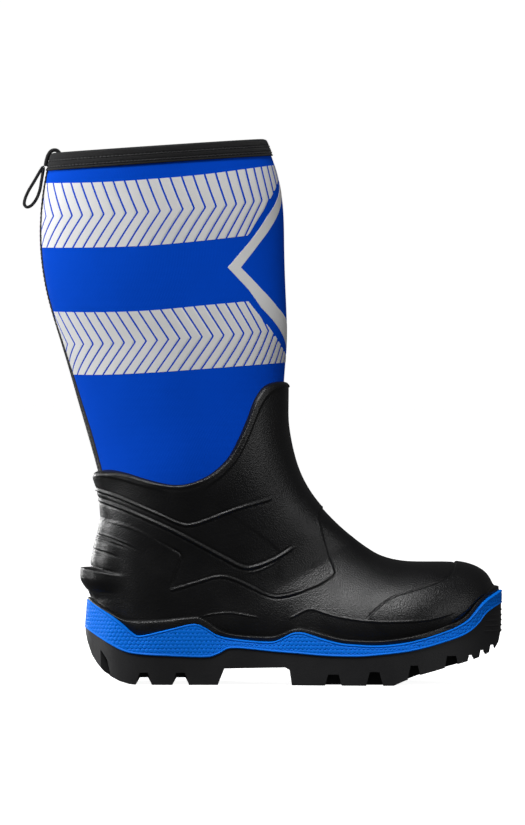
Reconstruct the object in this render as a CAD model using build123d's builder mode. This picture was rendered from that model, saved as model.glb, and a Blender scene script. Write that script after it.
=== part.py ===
"""Right safety wellington: a moulded rubber foot on a lugged sole, with a neoprene shaft.

Millimetres, +X to the toe, +Z up, -Y the lateral side. The origin is on the ground under the
middle of the boot's length.
"""

import os
from math import hypot
from collections import namedtuple

from build123d import *

# ---------------------------------------------------------------- driving dimensions
HEEL_X = -133.5  # rear end of the sole
TOE_X = 180.0  # front end of the sole

SHELL_WALL = 3.0  # moulded rubber foot
NEOPRENE_WALL = 4.5
LINING_WALL = 0.8  # knitted lining inside the neoprene and the foot
TOE_CAP_WALL = 2.2
COUNTER_WALL = 1.8
RAND_WALL = 2.0

RIM_HEIGHT = 409.5  # top of the binding, above the origin
RIM_SLOPE = 3.8  # degrees; the rim is higher at the front
BINDING_DROP = 12.4  # how far the binding reaches down from the rim
BINDING_WALL = 1.0
STITCH_WALL = 0.4
STITCH_ROW = 1.0
STITCH_DROPS = (6.2, 10.6)  # below the rim, for the upper and lower row

PRINT_WALL = 0.35  # reflective print
TAPE_WALL = 0.6
TAPE_STITCH_INSET = 1.8
TAPE_STITCH_WIDTH = 0.9

PLATE_WALL = 1.2  # puncture resistant plate
PLATE_INSET = 6.0  # from the neoprene's form, for the plate and the board above it
FOOTBED_WALL = 4.5
FOOTBED_SIDE_GAP = 2.5  # from the lining's walls
FREE_GAP = 0.3  # between a moving piece and its neighbours

LOOP_WIDTH = 12.0
LOOP_THICKNESS = 2.0

TOE_CAP_BACK_X = 112.0
TOE_CAP_FLANGE = 10.0  # width of the cap's turned in edge
CUSHION_LENGTH = 9.0
CUSHION_FOOT_Z = 52.0
COUNTER_FRONT_X = -58.0
COUNTER_FOOT_Z = 46.0

FAR = 400.0  # reaches past the boot on every side

# ---------------------------------------------------------------- the foot's form
# Cross sections of the neoprene's outer face, from above the rim to the toe. Each lies in a plane
# that holds the Y direction and runs from a point on the front or top line to one on the back or
# bottom line. "foot" is 0 for a rounded shaft section and 1 for a flat bottomed foot section,
# "centre" moves the section towards the medial side, and "toe" says how much of an inset also
# moves the section back.
Station = namedtuple("Station", "front back lateral medial foot centre toe")
STATIONS = (
    Station((-1.5, 416.0), (-157.0, 406.0), 43.5, 43.5, 0.0, 0.0, 0.0),
    Station((6.0, 398.0), (-161.5, 387.5), 45.0, 45.0, 0.0, 0.0, 0.0),
    Station((14.3, 366.0), (-166.0, 357.0), 46.5, 46.5, 0.0, 0.0, 0.0),
    Station((16.6, 330.0), (-166.4, 325.0), 47.0, 47.0, 0.0, 0.0, 0.0),
    Station((18.0, 292.0), (-161.0, 291.0), 47.0, 47.0, 0.0, 0.0, 0.0),
    Station((18.2, 260.0), (-152.4, 261.0), 46.5, 46.5, 0.0, 0.0, 0.0),
    Station((16.4, 232.0), (-144.0, 232.0), 46.5, 46.5, 0.0, 0.0, 0.0),
    Station((16.0, 206.0), (-133.0, 194.0), 46.5, 46.0, 0.0, 0.0, 0.0),
    Station((18.8, 182.0), (-123.5, 160.0), 46.5, 45.5, 0.05, 0.0, 0.0),
    Station((26.5, 155.5), (-118.6, 131.0), 44.5, 43.0, 0.15, 0.0, 0.0),
    Station((38.5, 135.5), (-121.0, 106.0), 41.0, 39.5, 0.3, 0.5, 0.0),
    Station((52.0, 120.5), (-125.0, 76.0), 38.0, 37.0, 0.45, 1.0, 0.0),
    Station((60.0, 113.0), (-123.5, 46.0), 36.5, 35.5, 0.6, 1.5, 0.0),
    Station((66.5, 107.5), (-108.0, 20.0), 36.0, 34.5, 0.75, 2.0, 0.0),
    Station((72.5, 102.8), (-64.0, 18.0), 36.3, 33.6, 0.85, 2.5, 0.0),
    Station((80.0, 97.6), (-16.0, 18.0), 39.0, 32.6, 0.9, 3.0, 0.0),
    Station((90.0, 92.6), (30.0, 16.0), 44.0, 36.4, 1.0, 3.0, 0.0),
    Station((105.0, 89.2), (68.0, 14.0), 48.8, 42.6, 1.0, 3.0, 0.0),
    Station((124.0, 88.4), (104.0, 17.0), 49.5, 44.5, 1.0, 3.0, 0.2),
    Station((142.0, 88.0), (132.0, 25.0), 44.5, 40.5, 1.0, 4.0, 0.5),
    Station((155.0, 85.6), (152.0, 35.0), 36.0, 32.0, 1.0, 5.0, 0.8),
    Station((163.5, 81.0), (163.0, 43.0), 26.5, 23.0, 1.0, 5.5, 1.0),
    Station((168.5, 75.5), (168.5, 50.0), 17.0, 15.0, 1.0, 6.0, 1.0),
    Station((170.6, 71.5), (170.6, 54.0), 9.0, 9.0, 1.0, 6.0, 1.0),
)

# Underside of the rubber shell, seen from the side.
SHELL_FLOOR = (
    (-150.0, 72.0),
    (-131.0, 48.0),
    (-118.0, 37.0),
    (-100.0, 31.0),
    (-50.0, 30.5),
    (0.0, 30.5),
    (40.0, 27.5),
    (78.0, 26.5),
    (110.0, 30.5),
    (135.0, 38.0),
    (158.0, 49.5),
    (176.0, 66.0),
    (190.0, 84.0),
)

# Top edge of the rubber shell, from the back of the heel to the peak at the front.
COLLAR = (
    (-150.0, 156.0),
    (-118.0, 160.5),
    (-92.0, 155.0),
    (-66.0, 150.0),
    (-42.0, 156.0),
    (-22.0, 173.0),
    (-6.0, 208.0),
    (6.0, 224.5),
    (17.0, 227.0),
    (40.0, 218.0),
)

# ---------------------------------------------------------------- the sole's lines
# Half widths of the sole's outline along its length.
LATERAL_EDGE = (
    (-127.0, 19.5),
    (-112.0, 33.0),
    (-86.0, 40.5),
    (-40.0, 42.0),
    (5.0, 46.0),
    (50.0, 53.0),
    (88.0, 56.5),
    (120.0, 53.0),
    (146.0, 42.5),
    (166.0, 26.0),
    (177.0, 9.0),
)
MEDIAL_EDGE = (
    (-127.0, 19.5),
    (-112.0, 33.0),
    (-86.0, 40.0),
    (-40.0, 38.6),
    (0.0, 38.4),
    (45.0, 43.6),
    (84.0, 51.0),
    (112.0, 54.5),
    (140.0, 49.5),
    (160.0, 38.0),
    (174.0, 22.5),
)
TOE_TIP_Y = 6.0

# Line between the outsole and the midsole, seen from the side.
MIDSOLE_BOTTOM = (
    (-142.0, 50.0),
    (-133.5, 42.0),
    (-122.0, 34.5),
    (-104.0, 25.0),
    (-72.0, 21.6),
    (-42.0, 22.4),
    (-19.0, 27.2),
    (10.0, 25.0),
    (43.0, 22.0),
    (76.0, 21.6),
    (110.0, 25.5),
    (134.0, 31.8),
    (163.0, 45.7),
    (190.0, 69.0),
)
# Top of the midsole's wall, a wave with crests at the heel, the waist, the ball and the toe.
MIDSOLE_TOP = (
    (-146.0, 71.0),
    (-131.5, 62.0),
    (-112.0, 49.5),
    (-94.5, 36.8),
    (-78.0, 40.2),
    (-50.0, 45.8),
    (-33.0, 37.2),
    (5.0, 32.6),
    (26.0, 39.8),
    (45.0, 35.0),
    (80.0, 30.4),
    (110.0, 32.7),
    (134.0, 39.0),
    (156.0, 49.8),
    (166.0, 61.0),
    (178.0, 69.0),
    (192.0, 74.0),
)
# Top of the rubber rand that laps over the midsole's wall.
RAND_TOP = (
    (-146.0, 72.5),
    (-131.0, 63.5),
    (-115.0, 52.8),
    (-100.0, 48.8),
    (-76.0, 48.8),
    (-48.0, 51.2),
    (-30.0, 41.0),
    (5.0, 36.6),
    (26.0, 43.4),
    (45.0, 38.8),
    (80.0, 34.0),
    (110.0, 36.4),
    (134.0, 43.2),
    (154.0, 51.5),
    (163.0, 62.0),
    (175.0, 71.0),
    (192.0, 76.0),
)

# Underside of the outsole: heel bevel, heel block, arch and the lift towards the toe.
HEEL_BEVEL = ((-142.0, 62.0), (-133.8, 38.0), (-128.3, 21.8), (-120.0, 11.0), (-107.0, 2.8), (-94.0, 0.0))
ARCH = ((-33.5, 0.0), (-28.5, 12.5), (-12.0, 14.5), (8.0, 14.5), (19.0, 12.5), (22.5, 0.0))
TOE_LIFT = ((98.0, 0.0), (118.0, 7.6), (140.0, 14.0), (158.0, 19.2), (174.0, 25.5), (181.0, 40.0), (186.0, 70.0))

# Grooves across the tread.
Groove = namedtuple("Groove", "x mouth root foot_z depth")
GROOVES = (
    Groove(-89.0, 11.5, 6.0, 0.0, 9.4),
    Groove(-61.5, 12.0, 6.5, 0.0, 9.2),
    Groove(53.0, 12.0, 7.5, 0.0, 8.4),
    Groove(83.5, 12.0, 7.0, 0.0, 10.0),
    Groove(113.5, 8.0, 5.0, 5.0, 9.5),
    Groove(141.5, 9.0, 6.5, 13.5, 8.0),
    Groove(155.5, 4.0, 3.0, 17.5, 4.5),
    Groove(164.0, 4.0, 3.0, 20.5, 4.5),
    Groove(171.5, 4.0, 3.0, 23.5, 4.5),
)
CHANNEL_WIDTH = 5.0
CHANNEL_DEPTH = 6.0
CHANNELS = ((-125.0, -25.0), (15.0, 104.0))  # lengthwise channels in the heel and the forefoot

# ---------------------------------------------------------------- the shaft's trims, seen from the side
BAND_UPPER_TOP = ((-180.0, 375.0), (-126.0, 376.5), (-85.0, 378.8), (-43.0, 382.5), (11.0, 390.0), (30.0, 393.0))
BAND_UPPER_BOTTOM = ((-180.0, 328.0), (-126.0, 327.8), (-85.0, 329.2), (-43.0, 333.0), (-16.5, 336.0))
BAND_UPPER_FRONT = ((-16.5, 336.0), (-10.5, 340.5), (4.5, 363.8), (11.5, 384.0), (30.0, 387.0))
BAND_LOWER_TOP = ((-180.0, 281.0), (-126.0, 279.2), (-85.0, 280.6), (-43.0, 284.5), (-12.0, 287.3))
BAND_LOWER_FRONT = ((-12.0, 287.3), (-5.0, 278.5), (7.0, 263.6), (16.5, 250.0), (19.5, 244.0), (30.0, 243.0))
BAND_LOWER_BOTTOM = ((-180.0, 234.0), (-126.0, 232.2), (-85.0, 234.0), (-43.0, 237.0), (18.0, 241.3), (30.0, 241.6))
DIAMOND_OUTER = ((34.0, 380.0), (13.0, 372.5), (4.5, 351.0), (-25.5, 312.8), (-5.0, 288.6), (15.8, 266.2), (34.0, 262.0))
DIAMOND_INNER = ((34.0, 368.0), (13.0, 360.8), (3.0, 339.8), (-15.8, 312.8), (3.0, 291.8), (18.0, 274.4), (34.0, 272.0))

# Half width of the back seam's tape at each height.
TAPE_EDGE = ((5.5, 410.0), (5.5, 292.0), (13.0, 190.0), (13.5, 120.0))

# Lower edge of the neoprene inside the rubber shell.
NEOPRENE_FOOT = ((-160.0, 56.0), (160.0, 126.0))
# Top edge of the heel counter.
COUNTER_TOP = ((-160.0, 104.0), (-95.0, 98.0), (-40.0, 72.0))

# Middle line of the webbing of the pull loop, and the outer face of its sewn root over the rim.
LOOP_ROUTE = (
    (-164.9, 389.2),
    (-172.0, 377.0),
    (-179.0, 365.5),
    (-177.0, 357.6),
    (-170.4, 361.5),
    (-168.2, 372.5),
)
LOOP_BENDS = (0.6, 6.0, 2.5, 2.0, 3.0, 6.0)  # radius at each point of the route
LOOP_ROOT = ((-164.9, 388.2), (-164.0, 394.0), (-162.4, 399.0), (-158.6, 402.2), (-153.0, 402.0), (-149.6, 399.0))
LOOP_ROOT_END = (-149.0, 390.0)


def blend(shaft_value, foot_value, share):
    """A section's control value between the shaft's and the foot's."""
    return shaft_value + (foot_value - shaft_value) * share


def section_side(length, width, foot):
    """Control points of one side of a section, from its back or bottom to its front or top."""
    return (
        (0, 0),
        (0, width * blend(0.78, 1.35, foot)),
        (length * blend(0.52, 0.42, foot), width * blend(1.40, 1.25, foot)),
        (length, width * blend(1.08, 0.85, foot)),
        (length, 0),
    )


def section(station, inset):
    """One closed section of the form, a lateral and a medial half that meet on its middle line."""
    run_x = station.front[0] - station.back[0]
    run_z = station.front[1] - station.back[1]
    run = hypot(run_x, run_z)
    along = Vector(run_x / run, 0, run_z / run)
    toe_shift = Vector(-inset * station.toe, 0, 0)
    origin = Vector(station.back[0], station.centre, station.back[1]) + along * inset + toe_shift
    plane = Plane(origin, x_dir=along, z_dir=Vector(-along.Z, 0, along.X))
    lateral = section_side(run - 2 * inset, station.lateral - inset, station.foot)
    medial = section_side(run - 2 * inset, station.medial - inset, station.foot)
    halves = [Bezier(*[(a, -b) for a, b in lateral]), Bezier(*reversed(medial))]
    return plane * Face(Wire(halves))


def form(inset):
    """The whole inner form of the boot, its sections drawn in by the inset, or out if negative."""
    sections = [section(station, inset) for station in STATIONS]
    with BuildPart() as body:
        loft(sections=sections)
    return body.part


def side_region(lower, upper):
    """A solid across the whole width whose side view lies between two lines from heel to toe."""
    with BuildPart() as region:
        with BuildSketch(Plane.XZ):
            with BuildLine():
                low = Spline(*lower)
                high = Spline(*upper)
                Line(low @ 0, high @ 0)
                Line(low @ 1, high @ 1)
            make_face()
        extrude(amount=FAR / 2, both=True)
    return region.part


def above_line(points):
    """Everything above a line from heel to toe, across the whole width."""
    with BuildPart() as region:
        with BuildSketch(Plane.XZ):
            with BuildLine():
                Spline(*points)
                back_end = (-FAR, points[0][1])
                front_end = (FAR, points[-1][1])
                Polyline(points[0], back_end, (-FAR, 2 * FAR), (FAR, 2 * FAR), front_end, points[-1])
            make_face()
        extrude(amount=FAR / 2, both=True)
    return region.part


def raised(points, rise):
    """The same line, higher by the rise."""
    return [(x, z + rise) for x, z in points]


def rim_slab(drop_from, drop_to):
    """A slab parallel to the rim, between two depths below it."""
    rim = Plane((0, 0, RIM_HEIGHT)).rotated((0, -RIM_SLOPE, 0))
    with BuildPart() as slab:
        with BuildSketch(rim.offset(-drop_to)):
            Rectangle(2 * FAR, FAR)
        extrude(amount=drop_to - drop_from)
    return slab.part


def plan_solid():
    """The sole's outline in plan, as a solid as tall as the foot."""
    lateral = [(x, -half_width) for x, half_width in LATERAL_EDGE]
    with BuildPart() as column:
        with BuildSketch():
            with BuildLine():
                Spline((HEEL_X, 0), *lateral, (TOE_X, TOE_TIP_Y), *reversed(MEDIAL_EDGE), periodic=True)
            make_face()
        extrude(amount=FAR)
    return column.part


def floored(inset):
    """The form at an inset, cut off along the foot's floor at the same inset."""
    rise = SHELL_WALL + inset
    with BuildPart() as cut:
        add(form(inset))
        add(above_line(raised(SHELL_FLOOR, rise)), mode=Mode.INTERSECT)
    return cut.part


def layer(outer_inset, inner_inset, *regions):
    """What lies between two insets of the form, inside every region."""
    with BuildPart() as piece:
        add(form(outer_inset))
        for region in regions:
            add(region, mode=Mode.INTERSECT)
        add(form(inner_inset), mode=Mode.SUBTRACT)
    return piece.part


def region_between(*lines):
    """A solid across the whole width whose side view is closed by splines laid end to end."""
    with BuildPart() as region:
        with BuildSketch(Plane.XZ):
            with BuildLine() as edge:
                for line in lines:
                    Spline(*line)
                Line(lines[0][0], lines[1][0])
                Line(lines[0][-1], lines[-1][-1])
            make_face()
        extrude(amount=FAR / 2, both=True)
    return region.part


# ---------------------------------------------------------------- nested forms
shell_form = floored(-SHELL_WALL)
neoprene_form = floored(0.0)
lining_form = floored(NEOPRENE_WALL)
cavity_form = floored(NEOPRENE_WALL + LINING_WALL)
above_collar = above_line(COLLAR)
above_ankle = above_line(NEOPRENE_FOOT)
under_rim = rim_slab(BINDING_WALL, 2 * FAR)


# ---------------------------------------------------------------- plate and board
with BuildPart() as steel_plate:
    add(form(PLATE_INSET))
    add(side_region(SHELL_FLOOR, raised(SHELL_FLOOR, PLATE_WALL)), mode=Mode.INTERSECT)

with BuildPart() as insole_board:
    add(form(PLATE_INSET))
    board_region = side_region(raised(SHELL_FLOOR, PLATE_WALL), raised(SHELL_FLOOR, SHELL_WALL))
    add(board_region, mode=Mode.INTERSECT)

# ---------------------------------------------------------------- sole and rubber foot
with BuildPart() as outsole:
    add(plan_solid())
    add(above_line(MIDSOLE_BOTTOM), mode=Mode.SUBTRACT)
    with BuildSketch(Plane.XZ):
        with BuildLine():
            bevel = Spline(*HEEL_BEVEL)
            arch = Polyline(*ARCH)
            lift = Spline(*TOE_LIFT, tangents=[(1, 0.2), (0.1, 1)])
            Line(bevel @ 1, arch @ 0)
            Line(arch @ 1, lift @ 0)
            Polyline(bevel @ 0, (HEEL_X - FAR, 0), (HEEL_X - FAR, -FAR), (FAR, -FAR), (FAR, 0), lift @ 1)
        make_face()
    extrude(amount=FAR / 2, both=True, mode=Mode.SUBTRACT)
    for groove in GROOVES:
        with BuildSketch(Plane.XZ):
            with BuildLine():
                Polyline(
                    (groove.x - groove.mouth / 2, groove.foot_z - groove.depth),
                    (groove.x - groove.mouth / 2, groove.foot_z),
                    (groove.x - groove.root / 2, groove.foot_z + groove.depth),
                    (groove.x + groove.root / 2, groove.foot_z + groove.depth),
                    (groove.x + groove.mouth / 2, groove.foot_z),
                    (groove.x + groove.mouth / 2, groove.foot_z - groove.depth),
                    close=True,
                )
            make_face()
        extrude(amount=FAR / 2, both=True, mode=Mode.SUBTRACT)
    for channel_back, channel_front in CHANNELS:
        with BuildSketch(Plane.XY):
            with Locations(((channel_back + channel_front) / 2, 0)):
                Rectangle(channel_front - channel_back, CHANNEL_WIDTH)
        extrude(amount=CHANNEL_DEPTH, mode=Mode.SUBTRACT)

with BuildPart() as upper_shell:
    add(shell_form)
    add(neoprene_form, mode=Mode.SUBTRACT)
    add(above_collar, mode=Mode.SUBTRACT)
    add(steel_plate.part, mode=Mode.SUBTRACT)
    add(insole_board.part, mode=Mode.SUBTRACT)

with BuildPart() as rand:
    add(layer(-SHELL_WALL - RAND_WALL, -SHELL_WALL, side_region(MIDSOLE_TOP, RAND_TOP)))

with BuildPart() as midsole:
    add(plan_solid())
    add(side_region(MIDSOLE_BOTTOM, MIDSOLE_TOP), mode=Mode.INTERSECT)
    add(shell_form, mode=Mode.SUBTRACT)

# ---------------------------------------------------------------- inside the rubber foot
with BuildPart() as toe_cap:
    add(neoprene_form)
    with BuildSketch(Plane.YZ.offset(TOE_CAP_BACK_X)):
        Rectangle(FAR, FAR)
    extrude(amount=FAR, mode=Mode.INTERSECT)
    add(floored(TOE_CAP_WALL), mode=Mode.SUBTRACT)
    flange_top = raised(SHELL_FLOOR, SHELL_WALL + 2 * TOE_CAP_WALL)
    add(form(TOE_CAP_FLANGE) - above_line(flange_top), mode=Mode.SUBTRACT)

with BuildPart() as toe_cap_cushion:
    add(neoprene_form)
    add(floored(TOE_CAP_WALL), mode=Mode.SUBTRACT)
    with BuildSketch(Plane.YZ.offset(TOE_CAP_BACK_X - CUSHION_LENGTH)):
        with Locations((0, CUSHION_FOOT_Z + FAR / 2)):
            Rectangle(FAR, FAR)
    extrude(amount=CUSHION_LENGTH, mode=Mode.INTERSECT)

with BuildPart() as heel_counter:
    add(neoprene_form)
    add(floored(COUNTER_WALL), mode=Mode.SUBTRACT)
    add(above_line(COUNTER_TOP), mode=Mode.SUBTRACT)
    with BuildSketch(Plane.YZ.offset(COUNTER_FRONT_X)):
        with Locations((0, COUNTER_FOOT_Z + FAR / 2)):
            Rectangle(FAR, FAR)
    extrude(amount=-FAR, mode=Mode.INTERSECT)

with BuildPart() as foot_lining:
    add(neoprene_form)
    add(lining_form, mode=Mode.SUBTRACT)
    add(above_ankle, mode=Mode.SUBTRACT)
    for reinforcement in (toe_cap, toe_cap_cushion, heel_counter):
        add(reinforcement.part, mode=Mode.SUBTRACT)

with BuildPart() as insole:
    add(form(NEOPRENE_WALL + LINING_WALL + FOOTBED_SIDE_GAP))
    footbed_foot = SHELL_WALL + NEOPRENE_WALL + LINING_WALL + FREE_GAP
    footbed_region = side_region(
        raised(SHELL_FLOOR, footbed_foot), raised(SHELL_FLOOR, footbed_foot + FOOTBED_WALL)
    )
    add(footbed_region, mode=Mode.INTERSECT)

# ---------------------------------------------------------------- shaft
with BuildPart() as neoprene_shaft:
    add(neoprene_form)
    add(lining_form, mode=Mode.SUBTRACT)
    add(under_rim, mode=Mode.INTERSECT)
    add(above_ankle, mode=Mode.INTERSECT)
    add(heel_counter.part, mode=Mode.SUBTRACT)

with BuildPart() as inner_lining:
    add(lining_form)
    add(cavity_form, mode=Mode.SUBTRACT)
    add(under_rim, mode=Mode.INTERSECT)

with BuildPart() as top_binding:
    add(layer(-BINDING_WALL, NEOPRENE_WALL + LINING_WALL + BINDING_WALL, rim_slab(0, BINDING_DROP)))
    add(neoprene_shaft.part, mode=Mode.SUBTRACT)
    add(inner_lining.part, mode=Mode.SUBTRACT)


def seam_region(edge_inset):
    """The back of the shaft within the tape's long edges, drawn in by an inset."""
    with BuildPart() as strip:
        with BuildSketch(Plane.YZ.offset(-FAR)):
            with BuildLine():
                right = [(width - edge_inset, z) for width, z in TAPE_EDGE]
                left = [(-y, z) for y, z in reversed(right)]
                Polyline(*right, *left, close=True)
            make_face()
        extrude(amount=FAR - 100)
        add(rim_slab(BINDING_DROP, 2 * FAR), mode=Mode.INTERSECT)
        add(above_collar, mode=Mode.INTERSECT)
    return strip.part


with BuildPart() as back_seam_tape:
    add(layer(-TAPE_WALL, 0, seam_region(0)))

with BuildPart() as back_seam_stitching:
    rows_region = seam_region(TAPE_STITCH_INSET) - seam_region(TAPE_STITCH_INSET + TAPE_STITCH_WIDTH)
    add(layer(-TAPE_WALL - PRINT_WALL, -TAPE_WALL, rows_region))


with BuildPart() as reflective_band_upper:
    add(layer(-PRINT_WALL, 0, region_between(BAND_UPPER_TOP, BAND_UPPER_BOTTOM, BAND_UPPER_FRONT)))
    add(seam_region(0), mode=Mode.SUBTRACT)

with BuildPart() as reflective_band_lower:
    add(layer(-PRINT_WALL, 0, region_between(BAND_LOWER_BOTTOM, BAND_LOWER_TOP, BAND_LOWER_FRONT)))
    add(seam_region(0), mode=Mode.SUBTRACT)

with BuildPart() as diamond_region:
    with BuildSketch(Plane.XZ):
        with BuildLine():
            Polyline(*DIAMOND_OUTER, *reversed(DIAMOND_INNER), close=True)
        make_face()
    extrude(amount=FAR / 2, both=True)

with BuildPart() as reflective_diamond:
    add(layer(-PRINT_WALL, 0, diamond_region.part))

# ---------------------------------------------------------------- pull loop
with BuildPart() as pull_loop_root:
    with BuildSketch(Plane.XZ):
        with BuildLine():
            root_foot_end = (LOOP_ROOT[0][0] + 4 * LOOP_THICKNESS, LOOP_ROOT[0][1])
            Polyline(*LOOP_ROOT, LOOP_ROOT_END, root_foot_end, close=True)
        make_face()
    extrude(amount=LOOP_WIDTH / 2, both=True)
    for sewn_piece in (top_binding, neoprene_shaft, inner_lining):
        add(sewn_piece.part, mode=Mode.SUBTRACT)

with BuildPart() as pull_loop:
    with BuildSketch(Plane.XZ):
        with BuildLine():
            FilletPolyline(*LOOP_ROUTE, radius=LOOP_BENDS, close=True)
        make_face()
        offset(amount=LOOP_THICKNESS / 2)
    extrude(amount=LOOP_WIDTH / 2, both=True)
    with BuildSketch(Plane.XZ):
        with BuildLine():
            FilletPolyline(*LOOP_ROUTE, radius=LOOP_BENDS, close=True)
        make_face()
        offset(amount=-LOOP_THICKNESS / 2)
    extrude(amount=LOOP_WIDTH / 2, both=True, mode=Mode.SUBTRACT)


def stitch_row(drop):
    """A raised row of stitches all round the binding, broken where the pull loop is sewn on."""
    row_region = rim_slab(drop - STITCH_ROW / 2, drop + STITCH_ROW / 2)
    return layer(-BINDING_WALL - STITCH_WALL, -BINDING_WALL, row_region) - pull_loop_root.part


with BuildPart() as binding_stitching_upper:
    add(stitch_row(STITCH_DROPS[0]))

with BuildPart() as binding_stitching_lower:
    add(stitch_row(STITCH_DROPS[1]))

PIECES = {
    "outsole": outsole,
    "midsole": midsole,
    "rand": rand,
    "upper_shell": upper_shell,
    "steel_plate": steel_plate,
    "insole_board": insole_board,
    "toe_cap": toe_cap,
    "toe_cap_cushion": toe_cap_cushion,
    "heel_counter": heel_counter,
    "foot_lining": foot_lining,
    "insole": insole,
    "neoprene_shaft": neoprene_shaft,
    "inner_lining": inner_lining,
    "top_binding": top_binding,
    "binding_stitching_upper": binding_stitching_upper,
    "binding_stitching_lower": binding_stitching_lower,
    "back_seam_tape": back_seam_tape,
    "back_seam_stitching": back_seam_stitching,
    "reflective_band_upper": reflective_band_upper,
    "reflective_band_lower": reflective_band_lower,
    "reflective_diamond": reflective_diamond,
    "pull_loop_root": pull_loop_root,
    "pull_loop": pull_loop,
}

os.makedirs("parts", exist_ok=True)
for piece_name, piece in PIECES.items():
    piece.part.label = piece_name
    export_step(piece.part, f"parts/{piece_name}.step")
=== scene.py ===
"""Visual model of a right safety wellington: neoprene shaft, moulded rubber foot, lugged sole.

All shapes are worked out in millimetres in the part's frame (+X toe, +Z up, -Y lateral side) and
turned into metres when a mesh is made.
"""

from math import cos, pi, radians, sin, tan

import bmesh
import bpy
import numpy as np
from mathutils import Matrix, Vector
from mathutils.bvhtree import BVHTree


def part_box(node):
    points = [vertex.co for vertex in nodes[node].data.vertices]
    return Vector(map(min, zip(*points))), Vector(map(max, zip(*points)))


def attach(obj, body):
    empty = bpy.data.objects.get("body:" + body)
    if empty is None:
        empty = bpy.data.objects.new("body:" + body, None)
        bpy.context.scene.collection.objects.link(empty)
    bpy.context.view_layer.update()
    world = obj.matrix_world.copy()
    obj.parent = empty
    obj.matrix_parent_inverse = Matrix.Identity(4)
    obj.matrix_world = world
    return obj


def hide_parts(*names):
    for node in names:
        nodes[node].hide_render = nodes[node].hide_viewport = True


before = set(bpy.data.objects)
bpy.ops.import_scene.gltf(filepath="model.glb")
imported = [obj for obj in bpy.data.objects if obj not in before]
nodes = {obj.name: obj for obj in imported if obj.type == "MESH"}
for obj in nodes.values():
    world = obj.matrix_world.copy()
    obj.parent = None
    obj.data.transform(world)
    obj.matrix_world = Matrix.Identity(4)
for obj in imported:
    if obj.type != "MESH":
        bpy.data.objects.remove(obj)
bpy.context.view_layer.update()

# ------------------------------------------------------------------ the boot's form
# Sections of the neoprene's outer face from above the rim to the toe, as in the CAD part:
# front or top point, back or bottom point, lateral and medial half width, foot, centre, toe.
STATIONS = np.array([
    (-1.5, 416.0, -157.0, 406.0, 43.5, 43.5, 0.0, 0.0, 0.0),
    (6.0, 398.0, -161.5, 387.5, 45.0, 45.0, 0.0, 0.0, 0.0),
    (14.3, 366.0, -166.0, 357.0, 46.5, 46.5, 0.0, 0.0, 0.0),
    (16.6, 330.0, -166.4, 325.0, 47.0, 47.0, 0.0, 0.0, 0.0),
    (18.0, 292.0, -161.0, 291.0, 47.0, 47.0, 0.0, 0.0, 0.0),
    (18.2, 260.0, -152.4, 261.0, 46.5, 46.5, 0.0, 0.0, 0.0),
    (16.4, 232.0, -144.0, 232.0, 46.5, 46.5, 0.0, 0.0, 0.0),
    (16.0, 206.0, -133.0, 194.0, 46.5, 46.0, 0.0, 0.0, 0.0),
    (18.8, 182.0, -123.5, 160.0, 46.5, 45.5, 0.05, 0.0, 0.0),
    (26.5, 155.5, -118.6, 131.0, 44.5, 43.0, 0.15, 0.0, 0.0),
    (38.5, 135.5, -121.0, 106.0, 41.0, 39.5, 0.3, 0.5, 0.0),
    (52.0, 120.5, -125.0, 76.0, 38.0, 37.0, 0.45, 1.0, 0.0),
    (60.0, 113.0, -123.5, 46.0, 36.5, 35.5, 0.6, 1.5, 0.0),
    (66.5, 107.5, -108.0, 20.0, 36.0, 34.5, 0.75, 2.0, 0.0),
    (72.5, 102.8, -64.0, 18.0, 36.3, 33.6, 0.85, 2.5, 0.0),
    (80.0, 97.6, -16.0, 18.0, 39.0, 32.6, 0.9, 3.0, 0.0),
    (90.0, 92.6, 30.0, 16.0, 44.0, 36.4, 1.0, 3.0, 0.0),
    (105.0, 89.2, 68.0, 14.0, 48.8, 42.6, 1.0, 3.0, 0.0),
    (124.0, 88.4, 104.0, 17.0, 49.5, 44.5, 1.0, 3.0, 0.2),
    (142.0, 88.0, 132.0, 25.0, 44.5, 40.5, 1.0, 4.0, 0.5),
    (155.0, 85.6, 152.0, 35.0, 36.0, 32.0, 1.0, 5.0, 0.8),
    (163.5, 81.0, 163.0, 43.0, 26.5, 23.0, 1.0, 5.5, 1.0),
    (168.5, 75.5, 168.5, 50.0, 17.0, 15.0, 1.0, 6.0, 1.0),
    (170.6, 71.5, 170.6, 54.0, 9.0, 9.0, 1.0, 6.0, 1.0),
])
SHELL_WALL = 3.0
NEOPRENE_WALL = 4.5
LINING_WALL = 0.8
RIM_HEIGHT = 409.5
RIM_SLOPE = 3.8


def natural_spline(knots, values):
    """A function that runs through the values with a continuous bend."""
    count = len(knots)
    gap = np.diff(knots)
    system = np.zeros((count, count))
    right = np.zeros((count, values.shape[1]))
    system[0, 0] = system[-1, -1] = 1
    for i in range(1, count - 1):
        system[i, i - 1:i + 2] = gap[i - 1], 2 * (gap[i - 1] + gap[i]), gap[i]
        slopes = np.diff(values[i - 1:i + 2], axis=0) / gap[i - 1:i + 1, None]
        right[i] = 6 * (slopes[1] - slopes[0])
    second = np.linalg.solve(system, right)

    def evaluate(at):
        at = np.clip(np.asarray(at, float), knots[0], knots[-1])
        i = np.clip(np.searchsorted(knots, at) - 1, 0, count - 2)
        h = gap[i][..., None]
        a = (knots[i + 1] - at)[..., None] / h
        b = 1 - a
        bend = ((a ** 3 - a) * second[i] + (b ** 3 - b) * second[i + 1]) * h ** 2 / 6
        return a * values[i] + b * values[i + 1] + bend

    return evaluate


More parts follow.
